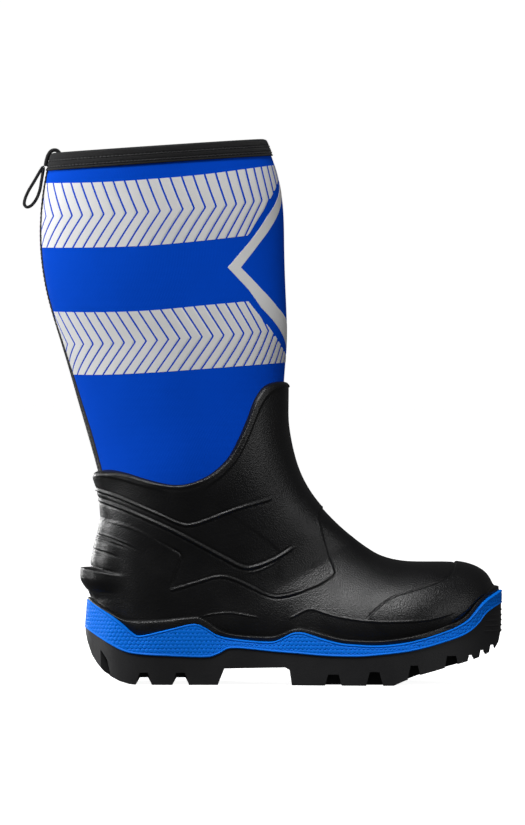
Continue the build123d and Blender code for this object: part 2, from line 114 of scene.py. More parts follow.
station_travel = np.diff(STATIONS[:, :4], axis=0)
front_step = np.hypot(station_travel[:, 0], station_travel[:, 1])
back_step = np.hypot(station_travel[:, 2], station_travel[:, 3])
KNOTS = np.concatenate([[0], np.cumsum((front_step + back_step) / 2)])
station_at = natural_spline(KNOTS, STATIONS)


def blend(shaft_value, foot_value, share):
    return shaft_value + (foot_value - shaft_value) * share


def ring(travel, inset, half_count):
    """Closed rings of the form: back, lateral side, front, medial side. Returns rows x points x 3."""
    s = station_at(travel)
    front, back = s[:, 0:2], s[:, 2:4]
    run = np.linalg.norm(front - back, axis=1)
    along = (front - back) / run[:, None]
    origin = back + along * inset
    origin[:, 0] -= inset * s[:, 8]
    length = run - 2 * inset
    foot = s[:, 6]
    t = np.linspace(0, 1, 161)
    basis = [(1 - t) ** 4, 4 * t * (1 - t) ** 3, 6 * t ** 2 * (1 - t) ** 2, 4 * t ** 3 * (1 - t), t ** 4]
    sides = []
    for width, sign in ((s[:, 4] - inset, -1), (s[:, 5] - inset, 1)):
        low = width * blend(0.78, 1.35, foot)
        middle = width * blend(1.40, 1.25, foot)
        high = width * blend(1.08, 0.85, foot)
        place = length * blend(0.52, 0.42, foot)
        forth = place[:, None] * basis[2] + length[:, None] * (basis[3] + basis[4])
        across = low[:, None] * basis[1] + middle[:, None] * basis[2] + high[:, None] * basis[3]
        arc = np.hypot(np.diff(forth, axis=1), np.diff(across, axis=1)).cumsum(axis=1)
        arc = np.concatenate([np.zeros((len(arc), 1)), arc], axis=1)
        rows = []
        for i in range(len(arc)):
            even = np.linspace(0, arc[i, -1], half_count + 1)
            f = np.interp(even, arc[i], forth[i])
            c = np.interp(even, arc[i], across[i])
            x = origin[i, 0] + along[i, 0] * f
            z = origin[i, 1] + along[i, 1] * f
            rows.append(np.stack([x, s[i, 7] + sign * c, z], axis=1))
        sides.append(np.array(rows))
    lateral, medial = sides
    return np.concatenate([lateral[:, :-1], medial[:, :0:-1]], axis=1)


def lengths_along(points, axis=0):
    """Distance along runs of points, from 0 at the first point of each."""
    run = np.linalg.norm(np.diff(points, axis=axis), axis=-1).cumsum(axis=axis)
    return np.concatenate([np.zeros_like(run.take([0], axis=axis)), run], axis=axis)


def on_line(line, arc, at):
    """Points of a line at distances along it."""
    return np.stack([np.interp(at, arc, line[:, k]) for k in range(line.shape[1])], axis=-1)


def along_columns(table, share):
    """Points of a table at a share of each column's length."""
    count = table.shape[0] - 1
    place = share * count
    i = np.clip(place.astype(int), 0, count - 1)
    f = (place - i)[..., None]
    j = np.arange(table.shape[1])
    return table[i, j] * (1 - f) + table[i + 1, j] * f


def rows_between(table, first, last, rows):
    """Rows of points on each column of a table, from one share of its length to another."""
    return along_columns(table, first + (last - first) * np.linspace(0, 1, rows)[:, None])


def sway(points):
    """Soft unevenness of the shaft, the same for every piece on it."""
    x, y, z = points[..., 0], points[..., 1], points[..., 2]
    fade = np.clip((z - 215) / 60, 0, 1)
    wave = np.sin(z / 31 + x / 57 + 0.6) * 0.35 + np.sin(z / 19 - x / 34 + y / 40 + 2.1) * 0.22
    centre = np.stack([np.full_like(x, -72.0), np.zeros_like(y)], axis=-1)
    out = points[..., :2] - centre
    out = out / np.maximum(np.linalg.norm(out, axis=-1, keepdims=True), 1)
    moved = points.copy()
    moved[..., :2] += out * (wave * fade)[..., None]
    return moved


# ------------------------------------------------------------------ meshes
MM = 0.001


def make_object(name, points, faces, smooth=True):
    mesh = bpy.data.meshes.new(name)
    mesh.from_pydata((np.asarray(points, float).reshape(-1, 3) * MM).tolist(), [], faces)
    mesh.update()
    obj = bpy.data.objects.new(name, mesh)
    bpy.context.scene.collection.objects.link(obj)
    if smooth:
        mesh.polygons.foreach_set("use_smooth", np.ones(len(mesh.polygons), bool))
    return obj


def face_outward(obj):
    """Makes the faces of closed bodies look outwards."""
    bm = bmesh.new()
    bm.from_mesh(obj.data)
    bmesh.ops.recalc_face_normals(bm, faces=bm.faces)
    bm.to_mesh(obj.data)
    bm.free()


def grid_faces(rows, columns, wrap_columns=True, wrap_rows=False, start=0):
    """Quads of a grid of points, as an array."""
    i = np.arange(rows if wrap_rows else rows - 1)
    j = np.arange(columns if wrap_columns else columns - 1)
    a, b = np.meshgrid(i, j, indexing="ij")
    a, b = a.ravel(), b.ravel()
    a2, b2 = (a + 1) % rows, (b + 1) % columns
    quads = np.stack([a * columns + b, a * columns + b2, a2 * columns + b2, a2 * columns + b], axis=1)
    return (quads + start).tolist()


def capped_faces(rows, columns):
    """Faces of a tube of rings, closed at both ends."""
    last = (rows - 1) * columns
    return grid_faces(rows, columns) + [list(range(columns)), list(range(last, last + columns))[::-1]]


def set_uv(obj, u, v):
    """UV map in metres from one pair of values for each vertex, given in millimetres."""
    mesh = obj.data
    layer = mesh.uv_layers.new(name="cloth")
    corner = np.zeros(len(mesh.loops), int)
    mesh.loops.foreach_get("vertex_index", corner)
    pairs = np.stack([np.ravel(u)[corner], np.ravel(v)[corner]], axis=1) * MM
    layer.data.foreach_set("uv", pairs.ravel())


def smoothstep(low, high, value):
    t = np.clip((value - low) / (high - low), 0, 1)
    return t * t * (3 - 2 * t)


def surface_normals(grid, wrap=True):
    """Outward unit normals of a grid of rows round the form."""
    if wrap:
        around = np.roll(grid, -1, axis=1) - np.roll(grid, 1, axis=1)
    else:
        around = np.gradient(grid, axis=1)
    down = np.gradient(grid, axis=0)
    normal = np.cross(down, around)
    length = np.linalg.norm(normal, axis=-1, keepdims=True)
    return normal / np.maximum(length, 1e-9)


def smooth_curve(points, step=1.2):
    """A smooth polyline through the points, as centripetal Catmull-Rom runs."""
    p = np.array(points, float)
    ends = np.concatenate([[2 * p[0] - p[1]], p, [2 * p[-1] - p[-2]]])
    out = []
    for i in range(1, len(ends) - 2):
        p0, p1, p2, p3 = ends[i - 1:i + 3]
        t01 = max(np.linalg.norm(p1 - p0), 1e-6) ** 0.5
        t12 = max(np.linalg.norm(p2 - p1), 1e-6) ** 0.5
        t23 = max(np.linalg.norm(p3 - p2), 1e-6) ** 0.5
        m1 = p2 - p1 + t12 * ((p1 - p0) / t01 - (p2 - p0) / (t01 + t12))
        m2 = p2 - p1 + t12 * ((p3 - p2) / t23 - (p3 - p1) / (t12 + t23))
        count = max(2, int(np.linalg.norm(p2 - p1) / step))
        t = np.linspace(0, 1, count, endpoint=False)[:, None]
        h = (2 * t ** 3 - 3 * t ** 2 + 1) * p1 + (t ** 3 - 2 * t ** 2 + t) * m1
        out.append(h + (-2 * t ** 3 + 3 * t ** 2) * p2 + (t ** 3 - t ** 2) * m2)
    return np.concatenate(out + [p[-1:]])


def nearest_on(curve, x, z, margin=25.0):
    """Signed distance to a curve in the side view, positive on its left, and the distance along it."""
    shape = x.shape
    x, z = x.ravel(), z.ravel()
    distance = np.full(len(x), 1e3)
    where = np.zeros(len(x))
    low, high = curve.min(0) - margin, curve.max(0) + margin
    near = np.nonzero((x > low[0]) & (x < high[0]) & (z > low[1]) & (z < high[1]))[0]
    px, pz = x[near], z[near]
    best = np.full(len(near), 1e6)
    signed = np.full(len(near), 1e3)
    along = np.zeros(len(near))
    travelled = 0.0
    for a, b in zip(curve[:-1], curve[1:]):
        run = b - a
        length = np.hypot(*run)
        t = np.clip(((px - a[0]) * run[0] + (pz - a[1]) * run[1]) / length ** 2, 0, 1)
        dx, dz = px - a[0] - run[0] * t, pz - a[1] - run[1] * t
        d = dx * dx + dz * dz
        closer = d < best - 1e-9
        side = np.sign(run[0] * dz - run[1] * dx)
        best = np.where(closer, d, best)
        signed = np.where(closer, np.sqrt(d) * np.where(side == 0, 1, side), signed)
        along = np.where(closer, travelled + t * length, along)
        travelled += length
    distance[near] = signed
    where[near] = along
    return distance.reshape(shape), where.reshape(shape), travelled


# ------------------------------------------------------------------ rubber foot
COLLAR = [
    (-150.0, 156.0), (-126.0, 159.4), (-118.5, 160.5), (-105.8, 158.8), (-90.8, 154.6), (-78.0, 151.5),
    (-67.5, 150.0), (-57.8, 150.6), (-44.2, 155.2), (-34.5, 161.2), (-24.8, 170.4), (-15.0, 187.5),
    (-9.0, 201.0), (-3.0, 215.2), (4.5, 224.2), (15.0, 227.2), (22.0, 226.0), (40.0, 222.0),
]
BACK_RIM = [(-127.0, 157.6), (-117.0, 156.0), (-105.8, 153.6), (-90.8, 149.4), (-78.0, 146.2), (-70.5, 143.2)]
FRONT_RIM = [
    (17.5, 222.5), (9.0, 220.5), (2.0, 214.0), (-4.0, 202.0), (-10.0, 187.0), (-18.5, 170.0),
    (-30.0, 157.0), (-40.0, 149.0), (-47.0, 142.0),
]
UPPER_RIDGE = [
    (-126.0, 146.6), (-117.8, 144.0), (-105.8, 139.5), (-90.8, 133.4), (-75.0, 126.6), (-64.0, 121.6),
    (-58.0, 120.0), (-50.0, 120.8), (-38.2, 125.0), (-19.5, 132.0), (-5.0, 136.2), (7.5, 139.8),
]
LOWER_RIDGE = [
    (-124.0, 138.6), (-113.2, 135.0), (-98.2, 129.2), (-82.5, 122.6), (-67.5, 115.8), (-48.0, 105.6),
    (-28.5, 95.0), (-18.0, 89.4), (-11.2, 87.6), (-3.8, 89.0), (9.8, 94.4), (25.5, 104.4),
]
LOWER_RIDGE_ECHO = [(-14.0, 84.4), (-6.0, 84.6), (6.0, 89.6), (17.5, 97.0)]
HEEL_PANEL = [
    (-124.0, 123.4), (-109.5, 121.0), (-98.2, 117.6), (-82.5, 110.2), (-67.5, 102.2), (-61.4, 98.4),
    (-60.6, 95.4), (-62.6, 90.0), (-66.8, 77.6), (-68.6, 72.4),
]
HEEL_CREASES = [
    [(-127.0, 112.4), (-116.0, 110.0), (-104.0, 105.4), (-92.0, 100.2)],
    [(-127.0, 109.0), (-118.0, 107.4), (-108.0, 104.0), (-99.0, 101.0)],
    [(-129.0, 101.6), (-118.0, 98.8), (-106.0, 94.6)],
    [(-129.0, 98.6), (-120.0, 97.0), (-111.0, 94.6)],
]
SPUR_CREASE = [(-131.0, 88.6), (-122.0, 86.2), (-107.0, 82.6)]
SPUR_FOOT = [(-130.0, 69.4), (-118.0, 68.6), (-105.0, 67.6)]
WAVE_BEAD = [
    (-69.4, 70.8), (-58.0, 74.2), (-46.0, 77.8), (-37.0, 80.6), (-29.0, 81.2), (-21.0, 79.0),
    (-9.0, 73.4), (2.0, 68.0), (9.0, 66.0), (16.0, 66.2), (24.0, 68.0), (34.0, 71.2),
]
ANKLE_PANEL = [
    (2.0, 68.0), (9.0, 66.0), (16.0, 66.2), (24.0, 68.0), (34.0, 71.2), (44.0, 75.8), (51.0, 80.4),
    (53.4, 83.0), (52.6, 87.0), (49.0, 96.0), (46.0, 106.0), (42.6, 119.0), (41.4, 125.5), (43.0, 129.5),
    (47.0, 134.0),
]
WAIST_BEAD = [(-48.0, 50.6), (-36.0, 53.2), (-26.0, 54.0), (-13.5, 52.4), (-0.8, 50.0)]
FOOT_BAND = [
    (19.5, 49.4), (27.0, 53.2), (33.8, 56.4), (38.0, 56.6), (46.0, 54.0), (57.0, 51.0), (76.5, 48.2),
    (90.0, 47.4), (109.5, 47.8), (124.5, 49.2), (138.8, 52.8), (146.5, 55.8),
]
TOE_CAP_LINE = [
    (144.0, 96.0), (144.4, 90.0), (143.8, 86.4), (140.0, 81.4), (132.8, 77.4), (119.2, 72.6), (108.0, 69.4),
    (99.0, 66.4), (91.5, 61.8), (84.0, 55.4), (77.2, 48.6),
]
RAND_TOP = [
    (-150.0, 78.0), (-132.0, 63.6), (-123.0, 57.8), (-114.8, 52.8), (-107.0, 49.2), (-100.0, 48.6),
    (-76.5, 49.2), (-54.0, 51.2), (-47.6, 51.2), (-42.0, 48.6), (-31.5, 41.4), (-23.2, 38.4),
    (4.5, 36.8), (10.5, 37.8),
    (22.0, 42.4), (28.5, 43.2), (42.8, 39.6), (57.0, 35.6), (71.2, 34.2), (87.8, 34.0), (105.0, 36.0),
    (124.5, 40.0), (138.8, 44.6), (149.0, 48.8), (156.0, 54.2), (162.0, 61.6), (168.5, 67.0), (176.0, 72.0),
    (192.0, 76.0),
]
MIDSOLE_TOP = [
    (-150.0, 74.0), (-131.4, 62.0), (-117.0, 53.0), (-105.8, 45.0), (-98.0, 38.6), (-94.0, 36.9),
    (-88.0, 37.6), (-70.0, 41.8), (-54.0, 45.6), (-49.0, 45.6), (-43.0, 43.0), (-33.8, 37.4),
    (-24.8, 35.2), (4.5, 32.6),
    (9.8, 33.4), (17.0, 36.8), (22.0, 39.2), (28.5, 39.8), (42.8, 35.6), (57.8, 31.8), (71.2, 30.6),
    (87.8, 30.2), (109.5, 32.6), (133.5, 39.0), (147.8, 44.4), (156.0, 49.6), (162.0, 56.6), (168.0, 62.8),
    (178.1, 69.0), (192.0, 75.0),
]
MIDSOLE_FOOT = [
    (-150.0, 54.0), (-133.5, 42.2), (-123.0, 35.2), (-105.8, 25.8), (-97.5, 23.4), (-71.2, 21.6),
    (-43.0, 20.8), (-38.0, 21.4), (-32.2, 23.8), (-26.5, 27.0), (-20.0, 27.6), (9.8, 25.0),
    (28.5, 23.6), (42.8, 22.4),
    (57.0, 21.8), (72.8, 21.8), (85.9, 22.8), (109.5, 25.6), (133.5, 31.4), (153.0, 38.4), (161.5, 45.0),
    (168.0, 53.0), (178.5, 59.5), (192.0, 64.0),
]


def height_on(points):
    """Height of a side view line at x, as a function."""
    line = smooth_curve(points, 0.8)
    order = np.argsort(line[:, 0])
    xs, zs = line[order, 0], line[order, 1]
    return lambda x: np.interp(x, xs, zs)


collar_height = height_on(COLLAR)
rand_height = height_on(RAND_TOP)
midsole_top = height_on(MIDSOLE_TOP)
midsole_foot = height_on(MIDSOLE_FOOT)


def ends_fade(along, total, start, end):
    """1 along a curve, 0 at its two ends, over the given lengths."""
    fade = np.ones_like(along)
    if start > 0:
        fade = fade * smoothstep(0, start, along)
    if end > 0:
        fade = fade * smoothstep(0, end, total - along)
    return fade


def bead(x, z, points, width, height, start=0.0, end=4.0, groove=0.0):
    """A rounded bead along a side view curve, with a fine groove on either side of it."""
    distance, along, total = nearest_on(smooth_curve(points), x, z)
    away = np.abs(distance)
    round_top = np.sqrt(np.clip(1 - (away / (width / 2)) ** 2, 0, 1)) * height
    dip = np.exp(-((away - width * 0.72) / (width * 0.3)) ** 2) * groove
    return (round_top - dip) * ends_fade(along, total, start, end)


def crease(x, z, points, width, depth, start=0.0, end=4.0):
    """A fine groove along a side view curve."""
    distance, along, total = nearest_on(smooth_curve(points), x, z)
    return -np.exp(-(distance / width) ** 2) * depth * ends_fade(along, total, start, end)


def ledge(x, z, points, height, edge, fade, side=1, start=6.0, end=0.0):
    """A raised side along a curve: a short edge, then a long run back down to the surface."""
    distance, along, total = nearest_on(smooth_curve(points), x, z, margin=3 * fade)
    distance = distance * side
    rise = smoothstep(-edge / 2, edge / 2, distance) * np.exp(-np.maximum(distance, 0) / fade)
    rise = np.where(np.abs(distance) > 900, 0, rise)
    return rise * height * ends_fade(along, total, start, end)


def undercut(x, z, points, slope, reach, start, end):
    """Below a curve, the surface falls back at a slope over a reach."""
    distance, along, total = nearest_on(smooth_curve(points), x, z)
    below = np.where(distance < -900, 0, np.clip(-distance, 0, reach))
    below = np.where(np.abs(distance) > 900, 0, below)
    return -below * slope * ends_fade(along, total, start, end)


# How far the heel stands out behind the form, by height.
HEEL_SWELL = (
    (70.0, 1.0), (85.0, 2.6), (100.0, 2.6), (112.0, 1.3), (124.0, 0.2), (140.0, 1.2), (150.0, 2.4),
    (158.0, 3.0),
)


def heel_relief(x, z):
    """The pillows between the heel's ridges, and the kick spur."""
    lines = (UPPER_RIDGE, LOWER_RIDGE, HEEL_PANEL[:6], HEEL_CREASES[0], HEEL_CREASES[2], SPUR_CREASE)
    edges = [height_on(line)(np.clip(x, -124, -62)) for line in lines]
    near_back = smoothstep(-104, -119, x)
    relief = np.zeros_like(x)
    for upper, lower, swell in zip(edges[:-1], edges[1:], (0.3, 0.6, 1.0, 1.0, 0.9)):
        share = np.clip((z - lower) / np.maximum(upper - lower, 1), 0, 1)
        relief += swell * np.sin(pi * share).clip(0) ** 0.7 * near_back
    top = edges[-1] - 0.6
    ledge_top = smoothstep(top + 0.9, top - 0.5, z)
    slope = smoothstep(63.5, 79.0, z)
    reach = smoothstep(-97, -130, x) ** 1.3
    swell = np.interp(z, [row[0] for row in HEEL_SWELL], [row[1] for row in HEEL_SWELL])
    relief += swell * smoothstep(-106, -123, x)
    return relief + 8.0 * ledge_top * slope * reach


def shell_relief(x, z):
    relief = heel_relief(x, z)
    relief += ledge(x, z, BACK_RIM, 0.8, 1.6, 40, side=1, start=0, end=16)
    relief += ledge(x, z, FRONT_RIM, 0.9, 1.8, 40, side=-1, start=0, end=22)
    relief += bead(x, z, UPPER_RIDGE, 2.1, 0.95, end=2.5, groove=0.4)
    relief += bead(x, z, LOWER_RIDGE, 2.4, 1.05, end=9, groove=0.45)
    relief += bead(x, z, LOWER_RIDGE_ECHO, 1.6, 0.45, start=6, end=6, groove=0.2)
    relief += crease(x, z, HEEL_PANEL, 0.6, 0.6, end=5)
    relief += crease(x, z, HEEL_PANEL[4:], 0.7, 0.7, start=2, end=3)
    relief += ledge(x, z, HEEL_PANEL, 0.25, 1.0, 12, side=-1, start=10, end=8)
    relief += bead(x, z, HEEL_PANEL[:5], 1.9, 0.9, end=34)
    for i, line in enumerate(HEEL_CREASES):
        relief += crease(x, z, line, 0.6, 0.9, end=12)
        relief += bead(x, z, [(a, b + 1.3) for a, b in line], 1.5, 0.8 if i % 2 == 0 else 0.4, end=20)
    relief += crease(x, z, SPUR_CREASE, 0.8, 1.2, end=7)
    relief += crease(x, z, SPUR_FOOT, 0.8, 0.6, end=14)
    relief += bead(x, z, WAVE_BEAD, 1.9, 0.85, start=1.5, end=14, groove=0.35)
    relief += ledge(x, z, ANKLE_PANEL, 0.8, 1.2, 32, side=1, start=22)
    relief += 0.9 * smoothstep(9, 17, x) * smoothstep(192, 216, z)
    relief += bead(x, z, ANKLE_PANEL[4:], 1.7, 0.6, start=14, end=4)
    relief += bead(x, z, WAIST_BEAD, 1.3, 0.5, start=8, end=8)
    relief += bead(x, z, FOOT_BAND, 1.3, 0.6, start=3, end=14)
    relief += ledge(x, z, FOOT_BAND, 0.35, 1.0, 9, side=1, start=8, end=14)
    relief += undercut(x, z, FOOT_BAND, 0.13, 12, start=12, end=22)
    relief += ledge(x, z, TOE_CAP_LINE, 1.0, 0.9, 26, side=1, end=6)
    relief += crease(x, z, TOE_CAP_LINE, 0.7, 0.9, end=6)
    return relief


ROUND = 460  # points round the rubber foot
SHELL_ROWS = 400
TABLE_ROWS = 900  # rows of a dense table of the form


def crossing(table, height):
    """The share of each column's length where it goes below a side view line."""
    above = table[..., 2] - height(table[..., 0])
    count = table.shape[0] - 1
    shares = np.zeros(table.shape[1])
    for j in range(table.shape[1]):
        below = np.nonzero(above[:, j] < 0)[0]
        i = below[0] if len(below) else count
        if i == 0:
            continue
        shares[j] = (i - above[i, j] / (above[i, j] - above[i - 1, j])) / count
    return shares


shell_travel = np.linspace(KNOTS[5], KNOTS[-1], TABLE_ROWS)
outer = ring(shell_travel, -SHELL_WALL, ROUND // 2)
inner = ring(shell_travel, -0.05, ROUND // 2)
collar_share = crossing(outer, collar_height)
skin = rows_between(outer, collar_share, 1, SHELL_ROWS)
below_collar = lengths_along(skin)
core = rows_between(inner, collar_share, 1, SHELL_ROWS)
wall_share = 0.8 + 0.2 * smoothstep(1.0, 6.0, below_collar)
rounded = np.clip(below_collar / 1.1, 0, 1)
wall_share = wall_share * np.sqrt(rounded * (2 - rounded))
rolled = core + (skin - core) * wall_share[..., None]
normal = surface_normals(skin)
rim_bead = np.sqrt(np.clip(1 - ((below_collar - 1.9) / 1.3) ** 2, 0, 1)) * 0.5
relief = shell_relief(skin[..., 0], skin[..., 2]) * smoothstep(0.5, 3.5, below_collar) + rim_bead
toe_fade = smoothstep(0, 14, (SHELL_ROWS - 1 - np.arange(SHELL_ROWS)))[:, None]
shell_grid = rolled + normal * (relief * toe_fade)[..., None]

toe_rows = []
toe_end = shell_grid[-1]
toe_centre = toe_end.mean(axis=0)
for step in range(1, 9):
    angle = step / 8 * pi / 2
    close = toe_centre + (toe_end - toe_centre) * cos(angle)
    close[:, 0] += 2.2 * sin(angle)
    toe_rows.append(close if step < 8 else close[:1])
toe_grid = np.array(toe_rows[:-1])
INNER_ROWS = 14
inner_grid = rows_between(inner, collar_share, 1, INNER_ROWS)
shell_points = np.concatenate([
    shell_grid.reshape(-1, 3), toe_grid.reshape(-1, 3), toe_rows[-1],
    inner_grid.reshape(-1, 3), inner_grid[-1].mean(axis=0)[None],
])
outer_rows = SHELL_ROWS + len(toe_grid)
tip = outer_rows * ROUND
inner_start = tip + 1
inner_tip = inner_start + INNER_ROWS * ROUND
faces = grid_faces(outer_rows, ROUND)
faces += [face[::-1] for face in grid_faces(INNER_ROWS, ROUND, start=inner_start)]
for j in range(ROUND):
    k = (j + 1) % ROUND
    faces.append([tip - ROUND + j, tip - ROUND + k, tip])
    faces.append([inner_tip - ROUND + k, inner_tip - ROUND + j, inner_tip])
    faces.append([k, j, inner_start + j, inner_start + k])
rubber_foot = make_object("rubber_foot", shell_points, faces)
face_outward(rubber_foot)

# ------------------------------------------------------------------ neoprene shaft and lining
SHAFT_ROUND = 360
SHAFT_ROWS = 300
RIM_DROP = 1.2  # the neoprene and the lining end this far below the rim
NEOPRENE_FOOT = height_on([(-160.0, 60.0), (160.0, 128.0)])


def rim_height(drop):
    """Height of the rim's plane at x, lower by a drop."""
    slope = tan(radians(RIM_SLOPE))
    return lambda x: RIM_HEIGHT + x * slope - drop / cos(radians(RIM_SLOPE))


def shaft_table(inset, half_count=SHAFT_ROUND // 2, last=KNOTS[13]):
    return ring(np.linspace(KNOTS[0], last, TABLE_ROWS), inset, half_count)


def between_lines(table, upper, lower, rows):
    """Rows of points on each column of a table, from one side view line to another."""
    return rows_between(table, crossing(table, upper), crossing(table, lower), rows)


def tube_wall(name, outside, inside):
    """A closed wall from an outer and an inner grid that share their column count."""
    loop = np.concatenate([outside, inside[::-1]], axis=0)
    rows, columns = loop.shape[:2]
    obj = make_object(name, loop, grid_faces(rows, columns, wrap_rows=True))
    face_outward(obj)
    return obj, loop


def around_and_down(loop):
    """Distances round a closed wall and heights on it, for its cloth map."""
    return lengths_along(loop, axis=1), loop[..., 2]


neoprene_outer = shaft_table(0.0)
neoprene_inner = shaft_table(NEOPRENE_WALL - 0.05)
shaft_out = sway(between_lines(neoprene_outer, rim_height(RIM_DROP), NEOPRENE_FOOT, SHAFT_ROWS))
shaft_in = sway(between_lines(neoprene_inner, rim_height(RIM_DROP), NEOPRENE_FOOT, 60))
neoprene, neoprene_loop = tube_wall("neoprene_shaft_knit", shaft_out, shaft_in)
set_uv(neoprene, *around_and_down(neoprene_loop))

LINING_INSET = NEOPRENE_WALL + LINING_WALL
LINING_ROWS = 200
lining_grids = []
for inset in (NEOPRENE_WALL + 0.05, LINING_INSET):
    table = ring(np.linspace(KNOTS[0], KNOTS[-1], 1400), inset, 110)
    lining_grids.append(sway(rows_between(table, crossing(table, rim_height(RIM_DROP)), 1, LINING_ROWS)))
LINING_COLUMNS = lining_grids[0].shape[1]
half = LINING_ROWS * LINING_COLUMNS
lining_ends = [grid[-1].mean(axis=0)[None] for grid in lining_grids]
lining_points = np.concatenate([grid.reshape(-1, 3) for grid in lining_grids] + lining_ends)
faces = grid_faces(LINING_ROWS, LINING_COLUMNS)
faces += [f[::-1] for f in grid_faces(LINING_ROWS, LINING_COLUMNS, start=half)]
for j in range(LINING_COLUMNS):
    k = (j + 1) % LINING_COLUMNS
    faces.append([k, j, half + j, half + k])
    faces.append([half - LINING_COLUMNS + j, half - LINING_COLUMNS + k, 2 * half])
    faces.append([2 * half - LINING_COLUMNS + k, 2 * half - LINING_COLUMNS + j, 2 * half + 1])
lining = make_object("lining_knit", lining_points, faces)
face_outward(lining)
lining_maps = [around_and_down(grid) for grid in lining_grids]
set_uv(lining, *[
    np.concatenate([lining_maps[0][k].ravel(), lining_maps[1][k].ravel(), [0, 0]]) for k in (0, 1)
])


# ------------------------------------------------------------------ a map of the shaft
class ShaftMap:
    """Points on the shaft at one inset, by height and by distance from the back or front seam."""

    LEVELS = np.arange(226.0, 402.0, 2.0)

    def __init__(self, inset):
        table = shaft_table(inset, half_count=200, last=KNOTS[9])
        self.half = 200
        slices = []
        for level in self.LEVELS:
            share = crossing(table, lambda x, level=level: np.full_like(x, level))
            slices.append(along_columns(table, share))
        slices = np.array(slices)
        lateral = slices[:, :self.half + 1]
        medial = np.concatenate([slices[:, :1], slices[:, :self.half - 1:-1]], axis=1)
        self.sides = {-1: lateral, 1: medial}
        self.arcs = {side: lengths_along(grid, axis=1) for side, grid in self.sides.items()}

    def on_level(self, side, level, arc, from_front=False):
        grid, arcs = self.sides[side][level], self.arcs[side][level]
        if from_front:
            arc = arcs[-1] - arc
        return on_line(grid, arcs, arc)

    def at(self, side, z, arc, from_front=False):
        place = np.clip((z - self.LEVELS[0]) / 2.0, 0, len(self.LEVELS) - 1.001)
        level = int(place)
        share = place - level
        low = self.on_level(side, level, arc, from_front)
        high = self.on_level(side, level + 1, arc, from_front)
        return low * (1 - share) + high * share

    def nearest_level(self, z):
        return int(round(np.clip((z - self.LEVELS[0]) / 2.0, 0, len(self.LEVELS) - 1)))

    def arc_at(self, side, z, x, from_front=False):
        """Distance from the back seam to where the shaft has this x at this height."""
        level = self.nearest_level(z)
        grid, arcs = self.sides[side][level], self.arcs[side][level]
        arc = np.interp(x, grid[:, 0], arcs)
        return arcs[-1] - arc if from_front else arc

    def length(self, side, z):
        return self.arcs[side][self.nearest_level(z)][-1]


PRINT_WALL = 0.16
print_top = ShaftMap(-PRINT_WALL)
print_foot = ShaftMap(0.12)


def slab(points_top, points_foot):
    """Closed slab between two grids of the same size. Returns points and faces."""
    rows, columns = points_top.shape[:2]
    points = np.concatenate([points_top.reshape(-1, 3), points_foot.reshape(-1, 3)])
    size = rows * columns
    faces = grid_faces(rows, columns, wrap_columns=False)
    faces += [f[::-1] for f in grid_faces(rows, columns, wrap_columns=False, start=size)]
    edge = list(range(columns)) + [r * columns + columns - 1 for r in range(1, rows)]
    edge += [(rows - 1) * columns + c for c in range(columns - 2, -1, -1)]
    edge += [r * columns for r in range(rows - 2, 0, -1)]
    for a, b in zip(edge, edge[1:] + edge[:1]):
        faces.append([b, a, size + a, size + b])
    return points, faces


class Bundle:
    """Collects closed bodies into one mesh."""

    def __init__(self):
        self.points, self.faces, self.count = [], [], 0

    def add(self, points, faces):
        self.points.append(np.asarray(points, float).reshape(-1, 3))
        self.faces += [[i + self.count for i in face] for face in faces]
        self.count += len(self.points[-1])

    def make(self, name):
        obj = make_object(name, np.concatenate(self.points), self.faces)
        face_outward(obj)
        return obj


CHEVRON_PITCH = 8.6
CHEVRON_GAP = 1.7
BAND_LEVELS = 46
SQUEEZE_FROM = 105.0
SQUEEZE = 1.1e-5
SQUEEZE_LENGTH = 75.0


def chevron_arc(place):
    """Distance round the shaft for a place in the pattern: the pattern draws together at the front."""
    bent = np.clip(place - SQUEEZE_FROM, 0, SQUEEZE_LENGTH)
    beyond = np.maximum(place - SQUEEZE_FROM - SQUEEZE_LENGTH, 0)
    return place - SQUEEZE * bent ** 3 - 3 * SQUEEZE * SQUEEZE_LENGTH ** 2 * beyond


def finish_print(bundle, name):
    """The print follows the shaft's unevenness and keeps crisp edges."""
    bundle.points = [sway(p) for p in bundle.points]
    film = bundle.make(name)
    film.data.set_sharp_from_angle(angle=radians(40))
    return film


